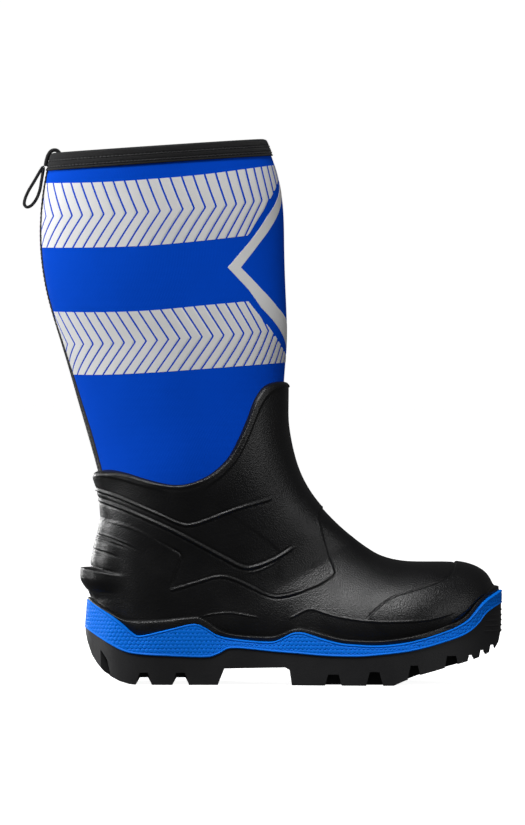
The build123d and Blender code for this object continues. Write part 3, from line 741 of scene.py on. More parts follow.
def chevron_band(name, top, foot, kink, front_cut, lean, phase):
    """Rows of chevron stripes that point to the toe, on both sides of the shaft."""
    top_at, foot_at, kink_at = [height_on(line) for line in (top, foot, kink)]
    cut_line = smooth_curve(front_cut)
    cut_order = np.argsort(cut_line[:, 1])
    cut_x, cut_z = cut_line[cut_order, 0], cut_line[cut_order, 1]
    lean_top, lean_foot = lean
    bundle = Bundle()

    def stripe_point(side, place, b, across):
        """Distance and height of one point of a stripe, by its share of the height and of the width."""
        x = print_top.at(side, float(kink_at(-72.0)), max(float(chevron_arc(place)), 1))[0]
        for _ in range(3):
            z = float(foot_at(x) + (top_at(x) - foot_at(x)) * b)
            kink_z = float(kink_at(x))
            if z > kink_z:
                shift = -lean_top * (z - kink_z) / (float(top_at(x)) - kink_z)
            else:
                shift = -lean_foot * (kink_z - z) / (kink_z - float(foot_at(x)))
            first = float(chevron_arc(place + shift))
            last = float(chevron_arc(place + shift + CHEVRON_PITCH)) - CHEVRON_GAP
            first = max(first, TAPE_HALF + 0.4)
            far = print_top.arc_at(side, z, np.interp(z, cut_z, cut_x))
            last = min(last, far, print_top.length(side, z) - 0.2)
            arc = first + (last - first) * across
            x = print_top.at(side, z, max(arc, 0.1))[0]
        return arc, z, last - first

    for side in (-1, 1):
        total = print_top.length(side, float(kink_at(-72.0)))
        for k in range(-3, int(total / CHEVRON_PITCH) + 9):
            runs, run = [], []
            for b in np.linspace(0, 1, BAND_LEVELS):
                marks = [stripe_point(side, k * CHEVRON_PITCH + phase, b, t) for t in (0, 0.25, 0.5, 0.75, 1)]
                if min(mark[2] for mark in marks) < 0.12:
                    runs.append(run)
                    run = []
                    continue
                run.append(marks)
            for run in runs + [run]:
                if len(run) > 1:
                    top_rows = [[print_top.at(side, z, arc) for arc, z, _ in marks] for marks in run]
                    foot_rows = [[print_foot.at(side, z, arc) for arc, z, _ in marks] for marks in run]
                    bundle.add(*slab(np.array(top_rows), np.array(foot_rows)))
    return finish_print(bundle, name)


TAPE_HALF = 5.5
band_upper = chevron_band(
    "chevrons_upper",
    [(-180.0, 376.0), (-126.0, 376.5), (-85.0, 378.8), (-43.0, 382.5), (11.0, 390.0), (30.0, 393.0)],
    [(-180.0, 327.6), (-126.0, 327.8), (-85.0, 329.2), (-43.0, 333.0), (-16.5, 336.0), (30.0, 341.0)],
    [(-180.0, 350.5), (-119.0, 352.5), (-69.0, 355.5), (-28.0, 359.2), (-1.0, 363.0), (30.0, 366.0)],
    [(-16.0, 331.0), (-13.5, 335.0), (-10.5, 337.4), (-5.1, 346.2), (5.7, 364.4), (11.0, 375.8),
     (13.3, 387.3), (14.5, 396.0)],
    (12.8, 16.0), 14.0,
)
band_lower = chevron_band(
    "chevrons_lower",
    [(-180.0, 280.0), (-126.0, 279.2), (-85.0, 280.6), (-43.0, 284.5), (-12.0, 287.3), (30.0, 291.0)],
    [(-180.0, 233.0), (-126.0, 232.2), (-85.0, 234.0), (-43.0, 237.0), (18.0, 241.3), (30.0, 241.6)],
    [(-180.0, 255.0), (-115.0, 255.8), (-64.0, 259.5), (-22.0, 262.6), (0.0, 264.8), (30.0, 267.0)],
    [(-16.0, 296.0), (-10.0, 286.8), (-2.4, 276.9), (7.0, 264.8), (16.2, 249.6), (18.6, 242.4),
     (19.0, 236.0)],
    (8.0, 24.5), 15.0,
)

DIAMOND_OUTER = [
    (12.7, 372.6), (3.6, 350.8), (-8.2, 333.2), (-25.6, 312.8), (-9.8, 296.0), (-0.6, 282.6), (11.0, 269.0),
]
DIAMOND_INNER = [
    (13.6, 359.0), (10.2, 349.6), (-2.6, 330.0), (-15.8, 312.8), (0.3, 296.0), (11.8, 282.6), (17.0, 275.6),
]


def diamond_print():
    """The diamond's outline at the front: each edge is a run of points in height and front distance."""
    bundle = Bundle()
    for side in (-1, 1):
        edges = []
        for line in (DIAMOND_OUTER, DIAMOND_INNER):
            marks = [(print_top.arc_at(side, z, x, True), z) for x, z in line]
            slope = (marks[0][1] - marks[1][1]) / (marks[1][0] - marks[0][0])
            first = (0.0, marks[0][1] + slope * marks[0][0])
            slope = (marks[-2][1] - marks[-1][1]) / (marks[-2][0] - marks[-1][0])
            last = (0.0, marks[-1][1] - slope * marks[-1][0])
            edges.append([first] + marks + [last])
        top_rows, foot_rows = [], []
        for i in range(len(edges[0]) - 1):
            for t in np.linspace(0, 1, 14, endpoint=i == len(edges[0]) - 2):
                outer_mark = np.array(edges[0][i]) * (1 - t) + np.array(edges[0][i + 1]) * t
                inner_mark = np.array(edges[1][i]) * (1 - t) + np.array(edges[1][i + 1]) * t
                marks = [outer_mark + (inner_mark - outer_mark) * w for w in np.linspace(0, 1, 5)]
                top_rows.append([print_top.at(side, z, arc, True) for arc, z in marks])
                foot_rows.append([print_foot.at(side, z, arc, True) for arc, z in marks])
        bundle.add(*slab(np.array(top_rows), np.array(foot_rows)))
    return finish_print(bundle, "diamond_outline")


diamond = diamond_print()

# ------------------------------------------------------------------ top binding
BIND_ROUND = 1120
BIND_FOOT, BIND_FOOT_INSIDE = 13.2, 12.2  # below the rim
STITCH_DROPS = (6.0, 10.6)


def binding_ring(inset, drop, count=BIND_ROUND):
    """One ring of points round the binding at an inset and a depth below the rim."""
    table = binding_tables.get(inset)
    if table is None:
        table = ring(np.linspace(KNOTS[0], KNOTS[2], 220), inset, 180)
        binding_tables[inset] = table
    loop = along_columns(table, crossing(table, rim_height(drop)))
    closed = np.concatenate([loop, loop[:1]])
    arc = lengths_along(closed)
    return on_line(closed, arc, np.linspace(0, arc[-1], count, endpoint=False)), arc[-1]


binding_tables = {}
BIND_OUT, BIND_IN = -1.0, LINING_INSET + 1.0
rib = np.arange(BIND_ROUND) % 2 * 0.14
profile = []
for drop in np.linspace(BIND_FOOT, 1.6, 26):
    edge = 0.3 * np.exp(-((drop - 12.7) / 0.5) ** 2)
    dent = sum(0.7 * np.exp(-((drop - row) / 0.8) ** 2) for row in STITCH_DROPS)
    swell = 0.3 * sin(pi * min(max((13.3 - drop) / 13.3, 0), 1))
    profile.append((BIND_OUT - edge + dent - swell, drop, 1))
for angle in np.linspace(0.15, 0.85, 9):
    middle = (BIND_OUT + BIND_IN) / 2
    reach = (BIND_IN - BIND_OUT) / 2
    profile.append((middle - reach * cos(pi * angle), 1.7 - 1.6 * sin(pi * angle), 0.7))
for drop in np.linspace(1.6, BIND_FOOT_INSIDE, 12):
    profile.append((BIND_IN, drop, -1))
for inset, drop in (
    (LINING_INSET + 0.04, BIND_FOOT_INSIDE), (LINING_INSET + 0.04, 1.3), (-0.06, 1.3), (-0.06, BIND_FOOT),
):
    profile.append((inset, drop, 0))
bind_rows = []
for inset, drop, ribbing in profile:
    low, _ = binding_ring(inset, drop)
    if ribbing:
        lifted, _ = binding_ring(inset - 0.5, drop)
        out = lifted - low
        out /= np.linalg.norm(out, axis=1, keepdims=True)
        low = low + out * np.abs(rib * ribbing)[:, None]
    bind_rows.append(low)
bind_loop = sway(np.array(bind_rows))
binding = make_object("binding_knit", bind_loop, grid_faces(len(bind_rows), BIND_ROUND, wrap_rows=True))
face_outward(binding)
set_uv(binding, lengths_along(bind_loop, axis=1), lengths_along(bind_loop))


def capsule(start, stop, out, radius, flat=0.75, rings=6, sides=8):
    """A short rounded stitch from start to stop, flattened towards the cloth."""
    start, stop, out = (np.asarray(v, float) for v in (start, stop, out))
    along = stop - start
    length = np.linalg.norm(along)
    along /= length
    out = out - along * np.dot(out, along)
    out /= np.linalg.norm(out)
    across = np.cross(along, out)
    points = [start - along * radius * 0.2]
    for i in range(1, rings):
        t = i / rings
        swell = radius * (sin(pi * t) ** 0.5)
        lift = out * radius * 0.35 * sin(pi * t)
        for k in range(sides):
            angle = 2 * pi * k / sides
            points.append(start + along * length * t + lift
                          + across * cos(angle) * swell + out * sin(angle) * swell * flat)
    points.append(stop + along * radius * 0.2)
    faces = [[0, 1 + (k + 1) % sides, 1 + k] for k in range(sides)]
    for i in range(rings - 2):
        for k in range(sides):
            a, b = 1 + i * sides + k, 1 + i * sides + (k + 1) % sides
            faces.append([a, b, b + sides, a + sides])
    last = 1 + (rings - 2) * sides
    faces += [[last + k, last + (k + 1) % sides, len(points) - 1] for k in range(sides)]
    return np.array(points), faces


STITCH_PITCH = 3.1
RING_POINTS = 4000


def binding_stitches(name, drop, slant):
    """A row of slanting stitches that overlap like a rope, round the binding."""
    bundle = Bundle()
    upper, length = binding_ring(-1.02, drop - slant, RING_POINTS)
    lower, _ = binding_ring(-1.02, drop + slant, RING_POINTS)
    outside, _ = binding_ring(-2.0, drop, RING_POINTS)
    upper, lower, outside = sway(upper), sway(lower), sway(outside)
    count = int(length / STITCH_PITCH)
    for k in range(count):
        i = int(k / count * RING_POINTS)
        j = int((k + 1.12) / count * RING_POINTS) % RING_POINTS
        centre = (upper[i] + lower[j]) / 2
        if centre[0] < -150 and abs(centre[1]) < 6.4:
            continue
        bundle.add(*capsule(upper[i], lower[j], outside[(i + j) // 2 % RING_POINTS] - centre, 0.6))
    return bundle.make(name)


stitches_upper = binding_stitches("binding_stitches_upper", STITCH_DROPS[0], 0.34)
stitches_lower = binding_stitches("binding_stitches_lower", STITCH_DROPS[1], 0.34)

# ------------------------------------------------------------------ back seam tape
tape_outer = shaft_table(-0.62, last=KNOTS[10])
tape_inner = shaft_table(0.1, last=KNOTS[10])
TAPE_WIDTHS = ((120.0, 13.0), (190.0, 12.5), (250.0, 8.0), (292.0, 5.5), (420.0, 5.5))


def tape_half(z):
    return np.interp(z, [w[0] for w in TAPE_WIDTHS], [w[1] for w in TAPE_WIDTHS])


def seam_strip(table, shares, rows, first, last):
    """A grid down the back seam. Shares run from -1 at the medial edge to 1 at the lateral edge."""
    strip = between_lines(table, first, last, rows)
    out = []
    for row in strip:
        half_count = len(row) // 2
        lateral = row[:half_count]
        medial = np.concatenate([row[:1], row[:half_count:-1]])
        half_width = tape_half(row[0, 2])
        points = []
        for share in shares:
            side = lateral if share >= 0 else medial
            points.append(on_line(side, lengths_along(side), abs(share) * half_width))
        out.append(points)
    return sway(np.array(out))


def tape_foot_line(x):
    return collar_height(x) - 6


tape_shares = np.linspace(-1, 1, 25)
tape_top, tape_under = [
    seam_strip(table, tape_shares, 220, rim_height(BIND_FOOT_INSIDE), tape_foot_line)
    for table in (tape_outer, tape_inner)
]
for edge in (0, -1):
    tape_top[:, edge] = tape_top[:, edge] * 0.4 + tape_under[:, edge] * 0.6
tape = make_object("seam_tape", *slab(tape_top, tape_under))
face_outward(tape)
tape_v = np.broadcast_to(tape_top[..., 2], tape_top.shape[:2])
tape_u = np.broadcast_to(tape_shares * 6.0, tape_top.shape[:2])
set_uv(tape, np.concatenate([tape_u.ravel()] * 2), np.concatenate([tape_v.ravel()] * 2))

SEAM_PITCH, SEAM_STITCH = 3.4, 2.7
seam_bundle = Bundle()
seam_top, seam_above = [
    seam_strip(shaft_table(inset, last=KNOTS[10]), [-0.7, 0.7], 900, rim_height(13.5), collar_height)
    for inset in (-0.72, -2.0)
]
for row in (0, 1):
    line, above = seam_top[:, row], seam_above[:, row]
    arc = lengths_along(line)
    for k in range(int(arc[-1] / SEAM_PITCH)):
        first, last = on_line(line, arc, k * SEAM_PITCH + np.array([0.0, SEAM_STITCH]))
        up = on_line(above, arc, k * SEAM_PITCH + 1.3)
        seam_bundle.add(*capsule(first, last, up - first, 0.36))
seam_stitches = seam_bundle.make("seam_stitches")


# ------------------------------------------------------------------ pull loop
LOOP_WIDTH = 12.0
LOOP_STEP = 0.5
LOOP_ROUTE = [
    (-165.1, 388.3), (-167.2, 385.4), (-172.0, 377.2), (-176.6, 369.4), (-178.9, 363.6), (-179.2, 360.0),
    (-177.6, 358.2), (-175.2, 358.6), (-172.4, 361.0), (-169.7, 365.2), (-167.6, 371.0), (-166.5, 377.0),
    (-165.5, 383.0), (-164.9, 386.8),
]


def closed_curve(points, step):
    """A smooth closed polyline, evenly spaced."""
    wrapped = points[-3:] + points + points[:3]
    line = smooth_curve(wrapped, step / 4)
    start = np.argmin(np.linalg.norm(line - np.array(points[0]), axis=1)[: len(line) // 2])
    rest = np.linalg.norm(line[start + 10:] - np.array(points[0]), axis=1)
    stop = start + 10 + np.argmin(rest)
    line = line[start:stop + 1]
    arc = lengths_along(line)
    even_arc = np.linspace(0, arc[-1], int(arc[-1] / step), endpoint=False)
    return on_line(line, arc, even_arc)


def webbing_section(width, thick, cords):
    """Cross section of a flat webbing with rounded edges and lengthwise cords."""
    points = []
    across = np.linspace(-1, 1, 4 * cords + 1)[1:-1]
    for side in (1, -1):
        for y in across[::side]:
            bulge = 0.10 * cos(y * cords * pi)
            taper = (1 - abs(y) ** 8) ** 0.5
            points.append((y * width / 2, side * (thick / 2 - 0.12 + bulge) * taper))
    return points


def sweep_flat(path, section, closed):
    """Sweeps a section, given across Y and out of the path, along a path in the XZ plane."""
    if closed:
        tangent = np.roll(path, -1, axis=0) - np.roll(path, 1, axis=0)
    else:
        tangent = np.gradient(path, axis=0)
    tangent /= np.linalg.norm(tangent, axis=1, keepdims=True)
    out = np.stack([-tangent[:, 1], tangent[:, 0]], axis=1)
    rows = []
    for p, n in zip(path, out):
        rows.append([(p[0] + n[0] * h, y, p[1] + n[1] * h) for y, h in section])
    return np.array(rows)


loop_path = closed_curve(LOOP_ROUTE, LOOP_STEP)
loop_section = webbing_section(LOOP_WIDTH - 0.3, 2.3, 6)
loop_rows = sweep_flat(loop_path, loop_section, True)
pull_loop = make_object("pull_loop_webbing", loop_rows, grid_faces(*loop_rows.shape[:2], wrap_rows=True))
face_outward(pull_loop)
section_run = np.linspace(0, 2 * LOOP_WIDTH, len(loop_section))
loop_run = np.arange(len(loop_path)) * LOOP_STEP
set_uv(pull_loop, np.tile(section_run, len(loop_path)), np.repeat(loop_run, len(loop_section)))

ROOT_ROUTE = smooth_curve([
    (-163.2, 388.9), (-163.0, 391.0), (-162.2, 394.6), (-160.8, 398.0), (-159.0, 400.2), (-156.8, 401.0),
    (-154.6, 400.6), (-153.0, 399.0), (-152.0, 396.0), (-151.2, 391.5),
], LOOP_STEP)
root_section = webbing_section(LOOP_WIDTH - 0.3, 2.9, 6)
root_rows = sweep_flat(ROOT_ROUTE, root_section, False)
root_bundle = Bundle()
root_bundle.add(root_rows, capped_faces(*root_rows.shape[:2]))
for drop_z in (391.0, 392.3, 393.6):
    back_x = np.interp(drop_z, ROOT_ROUTE[:12, 1], ROOT_ROUTE[:12, 0]) - 0.95
    for y in np.arange(-5.0, 4.6, 1.15):
        ends = (back_x, y, drop_z - 0.45), (back_x, y + 0.9, drop_z + 0.45)
        root_bundle.add(*capsule(*ends, (-1, 0, 0.2), 0.3))
loop_root = root_bundle.make("pull_loop_bartack")


# ------------------------------------------------------------------ the sole's outline
LATERAL_EDGE = [
    (-133.5, 0.0), (-132.0, 9.5), (-127.0, 19.5), (-112.0, 33.0), (-86.0, 40.5), (-40.0, 42.0),
    (5.0, 46.0), (50.0, 53.0), (88.0, 56.5), (120.0, 53.0), (146.0, 42.5), (166.0, 26.0), (177.0, 9.0),
    (180.0, -6.0),
]
MEDIAL_EDGE = [
    (-133.5, 0.0), (-132.0, 9.5), (-127.0, 19.5), (-112.0, 33.0), (-86.0, 40.0), (-40.0, 38.6),
    (0.0, 38.4), (45.0, 43.6), (84.0, 51.0), (112.0, 54.5), (140.0, 49.5), (160.0, 38.0), (174.0, 22.5),
    (180.0, 6.0),
]


def sole_outline(count):
    """Points round the sole in plan, from the heel along the lateral side, evenly spaced."""
    heel, corner = LATERAL_EDGE[:2]
    knots = [corner, heel] + [(x, -w) for x, w in LATERAL_EDGE[1:-1]]
    knots += [(x, w) for x, w in reversed(MEDIAL_EDGE[1:])] + [heel, (corner[0], -corner[1])]
    line = smooth_curve(knots, 0.6)
    near = 200  # points at either end among which the heel is looked for
    start = np.argmin(np.hypot(line[:near, 0] - heel[0], line[:near, 1]))
    stop = len(line) - near + np.argmin(np.hypot(line[-near:, 0] - heel[0], line[-near:, 1]))
    line = line[start:stop + 1]
    arc = lengths_along(line)
    even_arc = np.linspace(0, arc[-1], count, endpoint=False)
    points = on_line(line, arc, even_arc)
    tangent = np.roll(points, -3, axis=0) - np.roll(points, 3, axis=0)
    tangent /= np.linalg.norm(tangent, axis=1, keepdims=True)
    outward = np.stack([tangent[:, 1], -tangent[:, 0]], axis=1)
    return points, outward, even_arc


def honeycomb(u, v, cell, groove):
    """0 in the grooves between hexagonal pads and 1 on the pads."""
    row_height = cell * 0.866
    best = np.full(u.shape, 1e9)
    second = np.full(u.shape, 1e9)
    row = np.floor(v / row_height)
    for dr in (-1, 0, 1, 2):
        r = row + dr
        shift = np.where(r % 2 == 0, 0, cell / 2)
        column = np.floor((u - shift) / cell)
        for dc in (0, 1):
            cx = (column + dc) * cell + shift
            distance = np.hypot(u - cx, v - r * row_height)
            closer = distance < best
            second = np.where(closer, best, np.minimum(second, distance))
            best = np.where(closer, distance, best)
    border = (second - best) / 2
    return smoothstep(groove * 0.3, groove, border)


def wall_ring(name, count, rows, top, foot, shape, inward):
    """A closed ring round the sole. shape gives how far out each point of the wall stands."""
    outline, outward, arc = sole_outline(count)
    x = outline[:, 0]
    high, low = top(x), foot(x)
    b = np.linspace(0, 1, rows)[:, None]
    z = low + (high - low) * b
    out = shape(arc[None, :] + 0 * z, z, b + 0 * z, x[None, :] + 0 * z)
    wall = np.stack([
        outline[:, 0] + outward[:, 0] * out, outline[:, 1] + outward[:, 1] * out, z,
    ], axis=-1)
    back = [outline - outward * inward[1], outline - outward * inward[0]]
    top_edge = np.concatenate([back[0], high[:, None] + 0.0], axis=1)
    foot_edge = np.concatenate([back[1], low[:, None] + 0.0], axis=1)
    loop = np.concatenate([wall, top_edge[None], foot_edge[None]], axis=0)
    obj = make_object(name, loop, grid_faces(rows + 2, count, wrap_rows=True))
    face_outward(obj)
    return obj


PAD_CELL, PAD_GROOVE = 3.3, 0.42  # the midsole's hexagonal pads


def midsole_shape(arc, z, b, x):
    height = midsole_top(x) - midsole_foot(x)
    above, below = (1 - b) * height, b * height
    edges = np.exp(-((above - 0.8) / 0.7) ** 2) + np.exp(-((below - 0.8) / 0.7) ** 2)
    field = smoothstep(1.7, 2.4, above) * smoothstep(1.7, 2.4, below)
    pads = honeycomb(arc, z, PAD_CELL, PAD_GROOVE)
    lean = -1.7 * b * smoothstep(172, 140, x) - 0.5 * smoothstep(0.6, 0, np.minimum(above, below))
    return lean + 0.75 * edges + (0.45 * pads - 0.05) * field


midsole = wall_ring("midsole_honeycomb", 1680, 46, midsole_top, lambda x: midsole_foot(x) - 0.2,
                    midsole_shape, (9.0, 9.0))


# ------------------------------------------------------------------ rand lip
def pull_in_shell(clearance=3.4):
    """Below the lip, the toe of the rubber foot stays inside the midsole's wall."""
    mesh = rubber_foot.data
    flat = np.zeros(len(mesh.vertices) * 3)
    mesh.vertices.foreach_get("co", flat)
    points = flat.reshape(-1, 3) / MM
    outline, outward, _ = sole_outline(900)
    low = np.nonzero((points[:, 0] > 120) & (points[:, 2] < rand_height(points[:, 0]) + 7))[0]
    for part in np.array_split(low, max(len(low) // 2000, 1)):
        offset = points[part, None, :2] - outline[None]
        nearest = np.argmin((offset ** 2).sum(axis=-1), axis=1)
        depth = -(offset[np.arange(len(part)), nearest] * outward[nearest]).sum(axis=1)
        lip = rand_height(points[part, 0])
        wanted = clearance * smoothstep(lip + 6, lip - 1, points[part, 2])
        wanted *= smoothstep(120, 150, points[part, 0])
        points[part, :2] -= outward[nearest] * np.maximum(wanted - depth, 0)[:, None]
    mesh.vertices.foreach_set("co", (points * MM).ravel())
    mesh.update()


pull_in_shell()
bpy.context.view_layer.update()
shell_tree = BVHTree.FromObject(rubber_foot, bpy.context.evaluated_depsgraph_get())


def rand_lip(count=900):
    """The lip of the rubber foot over the midsole's edge: a strip pressed against the shell."""
    outline, outward, _ = sole_outline(count)
    x = outline[:, 0]
    top, foot = rand_height(x), midsole_top(x) - 0.1
    height = top - foot
    levels = [(0.0, 0.94), (0.05, 1.0), (0.2, 1.0), (0.4, 0.98), (0.6, 0.96), (0.74, 0.93), (0.83, 0.86),
              (0.9, 0.72), (0.95, 0.5), (1.0, 0.12)]
    rows = []
    for b, share in levels:
        z = foot + height * b
        depth = np.full(count, 4.0)
        for i in range(count):
            reach = outline[i] + outward[i] * 30
            start = Vector((reach[0] * MM, reach[1] * MM, z[i] * MM))
            hit = shell_tree.ray_cast(start, Vector((-outward[i][0], -outward[i][1], 0)))[0]
            if hit:
                depth[i] = np.dot(outline[i] - np.array(hit)[:2] / MM, outward[i])
        for _ in range(10):
            depth = (np.roll(depth, 1) + depth * 2 + np.roll(depth, -1)) / 4
        stand = np.clip(depth - 1.9, 1.2, 4.5) * share
        stand = np.minimum(stand, np.maximum(depth - 1.2, 0.25))
        rows.append(np.column_stack([outline - outward * (depth - stand)[:, None], z]))
    rows = np.array(rows)
    inside_top, inside_foot = rows[-1].copy(), rows[0].copy()
    inside_top[:, :2] -= outward * 1.6
    inside_foot[:, :2] = outline - outward * 10
    loop = np.concatenate([rows, inside_top[None], inside_foot[None]])
    obj = make_object("rand_lip", loop, grid_faces(len(loop), count, wrap_rows=True))
    face_outward(obj)
    return obj


rand = rand_lip()

# ------------------------------------------------------------------ lugged outsole
HEEL_BEVEL = [
    (-133.6, 40.0), (-131.6, 31.0), (-128.3, 21.8), (-124.0, 15.2), (-119.0, 9.6), (-113.0, 5.6),
    (-107.0, 2.6), (-100.0, 0.6), (-95.0, 0.0),
]
ARCH = [(-33.5, 0.0), (-28.6, 12.4), (17.0, 13.4), (20.2, 11.6), (22.0, 0.0)]
TOE_LIFT = [
    (98.0, 0.0), (106.0, 3.6), (118.0, 8.0), (128.0, 10.6), (140.0, 14.0), (150.0, 16.6), (158.0, 18.8),
    (166.0, 21.6), (174.0, 25.5), (177.6, 31.0), (179.4, 39.0), (180.2, 50.0),
]


def tread_height(x):
    xs, zs = zip(*HEEL_BEVEL, *ARCH, *TOE_LIFT)
    return np.interp(x, xs, zs)


def outsole_body():
    outline = sole_outline(760)[0]
    half_count = int(np.argmax(outline[:, 0]))
    lateral, medial = outline[:half_count + 1], np.concatenate([outline[half_count:], outline[:1]])[::-1]
    marks = [p[0] for p in ARCH] + [p[0] for p in HEEL_BEVEL[1:]] + [p[0] for p in TOE_LIFT[:-1]]
    ends = 0.5 - 0.5 * np.cos(np.linspace(0, pi, 150))
    xs = np.concatenate([-133.45 + ends * (179.95 + 133.45), marks])
    xs = np.unique(np.round(xs, 3))
    xs = xs[(xs > -133.44) & (xs < 179.9)]
    keep = [xs[0]]
    for value in xs[1:]:
        if value - keep[-1] > 0.35 or value in marks:
            keep.append(value)
    xs = np.array(keep)
    loops = []
    WALL, UNDER = 16, 13
    for x in xs:
        left = np.interp(x, lateral[:, 0], lateral[:, 1])
        right = np.interp(x, medial[:, 0], medial[:, 1])
        top, low = float(midsole_foot(x)), float(tread_height(x))
        low = min(low, top - 0.8)
        loop = []
        for side, y in ((-1, left), (1, right)):
            wall = []
            for b in np.linspace(0, 1, WALL):
                z = top + (low - top) * b
                drawn = 0.6 + 0.9 * b * min((top - low) / 20, 1)
                reach = abs(y - (left + right) / 2)
                width = max(reach - drawn, reach * 0.3)
                wall.append(((left + right) / 2 + side * width, z))
            loop.append(wall)
        left_wall, right_wall = loop
        under = [(left_wall[-1][0] + (right_wall[-1][0] - left_wall[-1][0]) * t, low)
                 for t in np.linspace(0, 1, UNDER + 2)[1:-1]]
        points = left_wall + under + right_wall[::-1]
        loops.append([(x, y, z) for y, z in points])
    loops = np.array(loops)
    obj = make_object("outsole_lugged", loops, capped_faces(*loops.shape[:2]), smooth=False)
    face_outward(obj)
    return obj


def prism(outline, low, high, plan=False):
    """A prism of a side view outline between two values of Y, or of a plan outline between heights."""
    points = [(x, b, level) if plan else (x, level, b) for level in (low, high) for x, b in outline]
    faces = capped_faces(2, len(outline))
    return np.array(points), faces[-2:] + faces[:-2]  # ends before sides: the cuts depend on the order


# Grooves across the tread: place, width at the mouth and at the root, height of the mouth, depth at the
# sides, depth in the middle, and how near to the middle the sides' depth reaches.
GROOVES = (
    (-89.0, 11.8, 6.0, 0.0, 9.3, 5.0, 24.0), (-61.3, 12.2, 6.6, 0.0, 9.2, 5.0, 24.0),
    (53.0, 12.0, 8.0, 0.0, 8.4, 0.0, 32.0), (83.8, 12.6, 7.0, 0.0, 10.4, 0.0, 36.0),
    (113.5, 9.0, 5.6, 5.8, 9.4, 0.0, 38.0), (141.6, 9.6, 7.0, 13.8, 8.2, 0.0, 30.0),
    (156.2, 4.2, 2.6, 18.0, 4.2, 4.2, 20.0), (165.0, 4.2, 2.6, 21.0, 4.6, 4.6, 14.0),
    (172.6, 4.0, 2.4, 24.6, 4.6, 4.6, 6.0),
)


def cut_outsole(body):
    """Cuts the tread's grooves, channels and side notches."""
    pieces = []
    for middle_part in (False, True):
        cutters = Bundle()
        for x, mouth, root, z, depth, through, inner in GROOVES:
            if middle_part:
                depth = through
            if depth <= 0:
                continue
            outline = [
                (x - mouth / 2 - 0.8, z - 9), (x - mouth / 2 - 0.3, z - 0.6), (x - root / 2, z + depth),
                (x + root / 2, z + depth), (x + mouth / 2 + 0.3, z - 0.6), (x + mouth / 2 + 0.8, z - 9),
            ]
            if middle_part:
                cutters.add(*prism(outline, -inner - 1, inner + 1))
            else:
                cutters.add(*prism(outline, -80, -inner))
                cutters.add(*prism(outline, inner, 80))
        pieces.append(cutters.make("groove_cutter"))
    notch = [(-121.4, 26.0), (-116.6, 18.6), (-114.2, 8.0), (-117.2, 4.0), (-126.0, 9.0)]
    for side in (-1, 1):
        bundle = Bundle()
        bundle.add(*prism(notch, side * 24.5, side * 70))
        pieces.append(bundle.make("notch_cutter"))
    channels = Bundle()
    for back, front in ((-121.0, -36.0), (26.0, 104.0)):
        channels.add(*prism([(back, -2.5), (front, -2.5), (front, 2.5), (back, 2.5)], -5, 6.0, plan=True))
    pieces.append(channels.make("channel_cutter"))
    for piece in pieces:
        cut = body.modifiers.new("cut", "BOOLEAN")
        cut.operation = "DIFFERENCE"
        cut.solver = "EXACT"
        cut.object = piece
    bevel = body.modifiers.new("bevel", "BEVEL")
    bevel.width = 0.0007
    bevel.segments = 2
    bevel.limit_method = "ANGLE"
    bevel.angle_limit = radians(38)
    depsgraph = bpy.context.evaluated_depsgraph_get()
    mesh = bpy.data.meshes.new_from_object(body.evaluated_get(depsgraph))
    body.modifiers.clear()
    body.data = mesh
    for piece in pieces:
        bpy.data.objects.remove(piece)
    mesh.polygons.foreach_set("use_smooth", np.ones(len(mesh.polygons), bool))
    mesh.set_sharp_from_angle(angle=radians(32))


def toe_ribs():
    """Bumper ribs round the toe of the outsole, as closed bodies."""
    outline, outward, _ = sole_outline(1400)
    front = np.nonzero(outline[:, 0] > 164.0)[0]
    bundle = Bundle()
    for height in (39.6, 43.5, 47.4, 51.3, 55.2):
        rows = []
        for share, i in zip(np.linspace(0, 1, len(front)), front):
            swell = sin(pi * share) ** 0.35
            rows.append([
                (outline[i, 0] - outward[i, 0] * (1.3 - 1.6 * swell * cos(angle)),
                 outline[i, 1] - outward[i, 1] * (1.3 - 1.6 * swell * cos(angle)),
                 height + 1.3 * max(swell, 0.1) * sin(angle))
                for angle in np.linspace(0, 2 * pi, 12, endpoint=False)
            ])
        rows = np.array(rows)[::3]
        bundle.add(rows, capped_faces(*rows.shape[:2]))
    return bundle.make("toe_ribs")


def join_to(target, extra):
    """Puts one mesh's bodies into another's."""
    bm = bmesh.new()
    bm.from_mesh(target.data)
    bm.from_mesh(extra.data)
    bm.to_mesh(target.data)
    bm.free()
    bpy.data.objects.remove(extra)


outsole = outsole_body()
cut_outsole(outsole)
join_to(outsole, toe_ribs())


